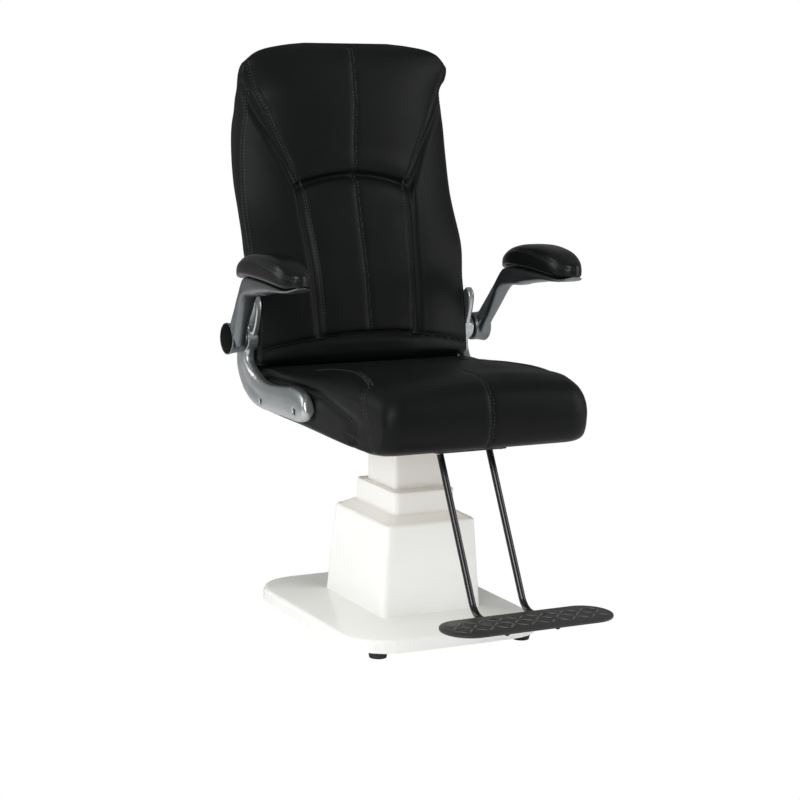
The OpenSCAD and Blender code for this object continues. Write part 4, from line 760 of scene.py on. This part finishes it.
# %% [markdown]
# ## The bodies that the covers ride on
# The pads turn with their arms, and everything else that is sewn rises with the seat. The covers hide
# the frame's solids that they stand for.

# %% Padded pieces
for (side_name, (pad, seam)), thread in zip(pads.items(), pad_threads):
    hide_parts(f"{side_name}_pad")
    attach(pad, f"{side_name}_arm")
    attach(thread, f"{side_name}_arm")
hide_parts("back_cushion")
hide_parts("back_cover")
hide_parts("seat_cushion")
for piece in (back_front, back_rear, seat, band_welt, *lift_threads):
    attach(piece, "lift")
print("the pads ride on the arms, the rest on the lift")

# %% [markdown]
# ## Vinyl and thread
# The vinyl is near black with a fine leather grain. A single dark colour would look like
# plastic, so its gloss and tone vary a little, as they do where hands and coats have
# polished it. The pads are handled most, so theirs is glossier.

# %% Vinyl
def vinyl_finish(name, tone, gloss, shine):
    plain = (tone * 0.9, tone, tone * 0.97, 1)
    made = Finish(name, Base_Color=plain, Roughness=gloss, Specular_IOR_Level=shine)
    grain = made.cells(620)
    pores = made.noise(2600, 3)
    broad = made.noise(9, 3)
    made.feed("Roughness", (gloss - 0.05) + 0.12 * broad + 0.04 * pores)
    dull = (tone * 0.72, tone * 0.8, tone * 0.78, 1)
    worn = (tone * 1.12, tone * 1.27, tone * 1.23, 1)
    made.feed("Base Color", made.mix(broad, dull, worn))
    made.bump(grain * 0.8 + pores * 0.3 + made.noise(60, 2) * 0.6, 0.35, 0.0004)
    return made

vinyl = vinyl_finish("black_vinyl", 0.0042, 0.4, 0.12)
pad_vinyl = vinyl_finish("pad_vinyl", 0.004, 0.26, 0.24)
thread_fabric = Finish("thread", Base_Color=(0.07, 0.075, 0.074, 1), Roughness=0.6,
                       Specular_IOR_Level=0.2)
DARK_PLY, LIGHT_PLY = (0.022, 0.026, 0.025, 1), (0.078, 0.083, 0.081, 1)
thread_fabric.feed("Base Color", thread_fabric.mix(thread_fabric.noise(140), DARK_PLY, LIGHT_PLY))
for piece in (back_front, back_rear, seat, band_welt):
    piece.data.materials.append(vinyl.material)
for piece in threads:
    piece.data.materials.append(thread_fabric.material)
for pad, seam in pads.values():
    pad.data.materials.append(pad_vinyl.material)
print("upholstery dressed")

# %% [markdown]
# ## The footplate
# The footplate is a steel plate with round ends. The frame's has the right outline and
# height but a finer tread, so a plain plate of the same outline takes its place, and the
# bars are laid on that.

# %% Footplate
plate_low, plate_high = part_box("footplate")
PLATE_HALF, PLATE_R = (plate_high.x - plate_low.x) / 2, (plate_high.y - plate_low.y) / 2
PLATE_X, PLATE_Y = (plate_low.x + plate_high.x) / 2, (plate_low.y + plate_high.y) / 2
BAR_H, ARC_POINTS = 0.0021, 33
PLATE_TOP = plate_high.z - BAR_H + 0.0006


def stadium(shrink):
    """The plate's outline: two half circles joined by straight sides."""
    r = PLATE_R - shrink
    ends = []
    for centre, start in ((PLATE_HALF - PLATE_R, -90), (PLATE_R - PLATE_HALF, 90)):
        a = np.radians(start + np.linspace(0, 180, ARC_POINTS))
        ends.append(np.stack([PLATE_X + centre + r * np.cos(a), PLATE_Y + r * np.sin(a)], -1))
    return np.concatenate(ends)

rings = [np.column_stack([stadium(shrink), np.full(2 * ARC_POINTS, z)]) for shrink, z in (
    (0.0012, plate_low.z), (0.0003, plate_low.z + 0.0005), (0, plate_low.z + 0.0012),
    (0, PLATE_TOP - 0.0012), (0.0003, PLATE_TOP - 0.0004), (0.0012, PLATE_TOP))]
footplate = skin("footplate_tread", np.array(rings))
print("footplate", round(2 * PLATE_HALF, 3), "by", round(2 * PLATE_R, 3), "m")

# %% [markdown]
# ## The tread
# Treadplate is rolled with lens-shaped bars that lie across each other in turn. A bump
# would stay flat at the plate's rim and in its outline, so each bar is a small closed
# solid, sunk a little in the plate.

# %% Tread bars
TREAD_PITCH, BAR_L, BAR_W, RIM = 0.0245, 0.029, 0.0066, 0.015
SECTION = ((-1, 0), (-0.55, 0.85), (0, 1), (0.55, 0.85), (1, 0))
BAR_STEPS, AROUND = 9, len(SECTION)


def bar_points(x, y, slant):
    """A bar's points, section by section from one tip to the other."""
    made = []
    for share in np.linspace(-1, 1, BAR_STEPS):
        wide = BAR_W / 2 * (1 - share ** 2) + 0.0003
        tall = BAR_H * (1 - share ** 4) + 0.0001
        for across, lift in SECTION:
            u, v = share * BAR_L / 2, across * wide
            made.append((PLATE_X + x + u * math.cos(slant) - v * math.sin(slant),
                         PLATE_Y + y + u * math.sin(slant) + v * math.cos(slant),
                         PLATE_TOP - 0.0002 + lift * tall))
    return made


def bar_faces(base):
    """The faces over the points that start at base: top, underside and both tips."""
    made = []
    for k in range(BAR_STEPS - 1):
        row = base + AROUND * k
        for a in range(row, row + AROUND - 1):
            made.append((a, a + AROUND, a + AROUND + 1, a + 1))
        made.append((row, row + AROUND - 1, row + 2 * AROUND - 1, row + AROUND))
    end = base + BAR_STEPS * AROUND - 1
    made.append(tuple(base + j for j in range(AROUND)))
    made.append(tuple(end - j for j in range(AROUND)))
    return made

points, faces = [], []
for row in range(-8, 9):
    for column in range(-3, 4):
        x, y = row * TREAD_PITCH, column * TREAD_PITCH
        if math.hypot(max(abs(x) - PLATE_HALF + PLATE_R, 0), y) > PLATE_R - RIM:
            continue
        faces += bar_faces(len(points))
        points += bar_points(x, y, math.radians(45 if (row + column) % 2 else -45))
bars = new_mesh("footplate_bars", points, faces)
for piece in (footplate, bars):
    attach(piece, "lift")
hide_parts("footplate")
print("tread bars", len(points) // (BAR_STEPS * AROUND))

# %% [markdown]
# ## The skins of the castings
# A sand casting has no sharp facet: the melt and the tumbling barrel round every edge. The frame's
# castings are exact but faceted, and its meshes may not be changed. The frame's castings are exact
# but faceted, so each gets a skin, shown in its place: a copy made even with small voxels and relaxed
# a few times.

# %% Casting skins
def cast_skin(name, body, voxel=0.0016, rounds=8):
    mesh = nodes[name].data.copy()
    mesh.materials.clear()
    made = bpy.data.objects.new(f"{name}_skin", mesh)
    bpy.context.scene.collection.objects.link(made)
    even = made.modifiers.new("even", "REMESH")
    even.mode, even.voxel_size, even.use_smooth_shade = "VOXEL", voxel, True
    relax = made.modifiers.new("relax", "SMOOTH")
    relax.factor, relax.iterations = 0.5, rounds
    view = made.evaluated_get(bpy.context.evaluated_depsgraph_get())
    made.data = bpy.data.meshes.new_from_object(view)
    made.modifiers.clear()
    made.data.polygons.foreach_set("use_smooth", [True] * len(made.data.polygons))
    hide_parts(name)
    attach(made, body)
    print(made.name, len(made.data.vertices), "points")
    return made

castings = {
    "right_bracket": cast_skin("right_bracket", "lift"),
    "left_bracket": cast_skin("left_bracket", "lift"),
    "right_lever": cast_skin("right_lever", "right_arm"),
    "left_lever": cast_skin("left_lever", "left_arm"),
}

# %% [markdown]
# ## Cast silver
# Tumbled aluminium has a fine peel and a slow change of tone. The levers are the same silver casting as
# the brackets, but take a darker tone, which is painted shade for how the light falls on them, so one
# function makes both finishes from two tones.

# %% Castings
def cast_finish(name, dark, light):
    made = Finish(name, Base_Color=(*light, 1), Metallic=0.94, Roughness=0.3)
    peel = made.noise(420, 3)
    made.feed("Roughness", 0.25 + 0.1 * made.noise(14, 3) + 0.06 * peel)
    made.feed("Base Color", made.mix(made.noise(7, 4), (*dark, 1), (*light, 1)))
    made.bump(peel * 0.7 + made.noise(60, 2) * 0.8, 0.18, 0.0006)
    return made

bracket_casting = cast_finish("bracket_casting", (0.36, 0.385, 0.39), (0.56, 0.585, 0.59))
# painted shade: the levers are the same silver as the brackets, and their darker tone stands in for the
# light on them
shaded_lever_casting = cast_finish("shaded_lever_casting", (0.13, 0.145, 0.15), (0.21, 0.227, 0.232))
print("castings", bracket_casting.material.name, shaded_lever_casting.material.name)

# %% [markdown]
# ## White mouldings
# The base and the collar are moulded and the column is powder coated. Both are a warm
# white that stays under full white, so that their shading shows, and differ in their peel.

# %% White mouldings
def white_finish(name, gloss, cloud, tint, peel, strength, depth):
    made = Finish(name, Base_Color=(0.87, 0.88, 0.855, 1), Roughness=gloss)
    made.feed("Roughness", gloss + 0.08 * made.noise(*cloud))
    made.feed("Base Color", made.mix(made.noise(*tint), (0.85, 0.86, 0.835, 1), (0.89, 0.9, 0.875, 1)))
    made.bump(made.noise(peel, 2), strength, depth)
    return made

moulding = white_finish("white_moulding", 0.13, (6, 3), (3, 4), 210, 0.07, 0.0005)
powder = white_finish("white_paint", 0.15, (9, 2), (5, 3), 500, 0.08, 0.0003)
print("whites", moulding.material.name, powder.material.name)

# %% [markdown]
# ## Paint, rubber, plastic and steel
# These differ in tone, gloss, grain and metal, and otherwise behave alike. Drawing each by
# hand in the editor would only repeat the same few nodes, so one function makes them all.

# %% Paint, rubber, plastic and steel
def painted(name, tone, gloss, grain=700, strength=0.12, metal=0.0):
    made = Finish(name, Base_Color=(*tone, 1), Roughness=gloss, Metallic=metal)
    made.feed("Roughness", (gloss - 0.05) + 0.1 * made.noise(30, 2))
    darker = (*[t * 0.85 for t in tone], 1)
    lighter = (*[min(t * 1.15, 1) for t in tone], 1)
    made.feed("Base Color", made.mix(made.noise(18, 3), darker, lighter))
    made.bump(made.noise(grain, 2), strength, 0.0004)
    return made

tube_paint = painted("tube_gloss_black", (0.006, 0.006, 0.006), 0.2)
plate_paint = painted("footplate_paint", (0.018, 0.019, 0.0185), 0.46, 900, 0.3)
# painted highlight: the bars are lighter than the plate to stand in for the light their edges catch
bar_highlight_paint = painted("tread_bar_highlight_paint", (0.06, 0.062, 0.061), 0.36, 900, 0.2)
grey_paint = painted("steel_grey_paint", (0.16, 0.165, 0.17), 0.45)
machine = painted("machine_grey", (0.22, 0.225, 0.235), 0.5, 260, 0.3)
rubber = painted("rubber", (0.02, 0.02, 0.02), 0.65, 1500, 0.3)
plastic = painted("black_plastic", (0.0025, 0.003, 0.003), 0.5, 1200, 0.2)
plastic.surface.inputs["Specular IOR Level"].default_value = 0.03
nylon_finish = painted("nylon", (0.72, 0.69, 0.62), 0.42)
zinc_steel = painted("zinc_steel", (0.56, 0.57, 0.58), 0.32, 800, 0.15, 1.0)
black_steel = painted("black_steel", (0.012, 0.012, 0.013), 0.35, 800, 0.15, 0.6)
chrome = painted("chrome_rod", (0.72, 0.73, 0.74), 0.1, 1600, 0.03, 1.0)
print("painted and bare finishes made")

# %% [markdown]
# ## Plywood
# The pan in the seat and the board in the back are plywood. A wave texture in bands gives
# the layers at their edges and a grain on the underside, where the pan shows.

# %% Plywood
ply = Finish("plywood", Base_Color=(0.55, 0.38, 0.2, 1), Roughness=0.6)
layers = ply.node("ShaderNodeTexWave", {"wave_type": "BANDS", "bands_direction": "Z"},
                  {"Vector": ply.place(), "Scale": 60, "Distortion": 3, "Detail": 3})
ply.feed("Base Color", ply.mix(layers, (0.44, 0.29, 0.15, 1), (0.64, 0.47, 0.27, 1)))
ply.bump(layers, 0.2, 0.0005)
print("plywood", ply.material.name)

# %% [markdown]
# ## Who wears what
# One table says which finish each node of the frame wears. Fasteners are so many that they
# take zinc by default, and the frame's own cushions, which don't show, take the vinyl.

# %% Dressing the frame
uses = {
    moulding: ("base_shell", "column_housing", "housing_wiper"),
    powder: ("column",),
    tube_paint: ("footrest_frame",),
    plate_paint: ("footplate", "footplate_screws"),
    grey_paint: ("base_plate", "seat_plate"),
    machine: ("mast", "actuator_gearbox", "actuator_tube"),
    rubber: ("rubber_feet",),
    plastic: ("power_gland", "actuator_motor", "control_box", "tube_plugs", "right_cap",
              "left_cap", "pivot_washers"),
    nylon_finish: ("mast_glides", "column_glides", "right_bush", "left_bush"),
    chrome: ("actuator_rod",),
    black_steel: ("bracket_bolts",),
    ply: ("seat_pan", "back_frame"),
}
for finish, names in uses.items():
    dress(finish, *names)
for name, made in castings.items():
    finish = shaded_lever_casting if "lever" in name else bracket_casting
    dress(finish, name)
    made.data.materials.append(finish.material)
footplate.data.materials.append(plate_paint.material)
bars.data.materials.append(bar_highlight_paint.material)
named = {name for names in uses.values() for name in names} | set(castings)
soft = {"seat_cushion", "back_cushion", "back_cover", "right_pad", "left_pad"}
dress(zinc_steel, *(set(nodes) - named - soft))
dress(vinyl, *soft)
print(len(bpy.data.materials), "finishes")

# %% [markdown]
# ## Lamps
# Five soft area lamps light the chair at a plain level. Two of them are left out of
# reflections: black vinyl would show them as grey sheets, while the white mouldings only
# need their light.

# %% Lamps
def lamp(name, size, power, place, target):
    data = bpy.data.lights.new(name, "AREA")
    data.shape, data.size, data.size_y, data.energy = "RECTANGLE", size[0], size[1], power
    made = bpy.data.objects.new(name, data)
    bpy.context.scene.collection.objects.link(made)
    made.location = place
    made.rotation_mode = "QUATERNION"
    made.rotation_quaternion = (Vector(target) - Vector(place)).to_track_quat("-Z", "Y")
    return made

lamp("key", (1.2, 1.8), 58, (-2.2, -2.4, 2.0), (0, 0, 0.7))
lamp("fill", (1.6, 2.2), 34, (2.6, -1.6, 1.4), (0, 0, 0.7))
over = lamp("over", (2.0, 2.0), 60, (-0.3, -0.4, 3.2), (0, 0, 0.5))
over.visible_glossy = False
lamp("rim", (0.4, 1.8), 16, (-2.4, 1.4, 1.6), (0, 0, 0.8))
wash = lamp("wash", (2.0, 2.0), 22, (-2.8, 0.4, 1.1), (0, 0, 0.4))
wash.visible_glossy = False

print(len(bpy.data.lights), "lamps")

# %% [markdown]
# ## Backdrop
# The white behind the chair is a colour that only the camera sees, so the lamps can stay
# low enough for the white mouldings to keep their shading. The world and the floor are
# made in the same way: a plain shader for the light, and white for the camera.

# %% Backdrop
WORLD_LIGHT = 0.24


def seen_white(on, plain, kind, end):
    """Mixes in white for the camera's own rays, and leaves all other rays the plain shader."""
    camera_rays = on.node("ShaderNodeLightPath", {}, {}, "Is Camera Ray")
    white = on.node(kind, {}, {"Color": (1, 1, 1, 1), "Strength": 1.0})
    share = on.node("ShaderNodeMixShader", {}, {0: camera_rays, 1: Wire(on, plain), 2: white})
    on.tree.links.new(share.socket, on.tree.nodes[end].inputs[0])

world = bpy.data.worlds.new("studio")
bpy.context.scene.world = world
world.use_nodes = True
sky = world.node_tree.nodes["Background"]
sky.inputs["Color"].default_value = (1, 1, 1, 1)
sky.inputs["Strength"].default_value = WORLD_LIGHT
seen_white(Nodes(world.node_tree), sky.outputs[0], "ShaderNodeBackground", "World Output")

bpy.ops.mesh.primitive_plane_add(size=30)
floor = bpy.context.object
floor.name = "floor"
floor_paint = Finish("floor_paint", Base_Color=(0.9, 0.9, 0.9, 1), Roughness=0.9)
seen_white(floor_paint, floor_paint.surface.outputs[0], "ShaderNodeEmission", "Material Output")
floor.data.materials.append(floor_paint.material)
print("world and floor are white to the camera")
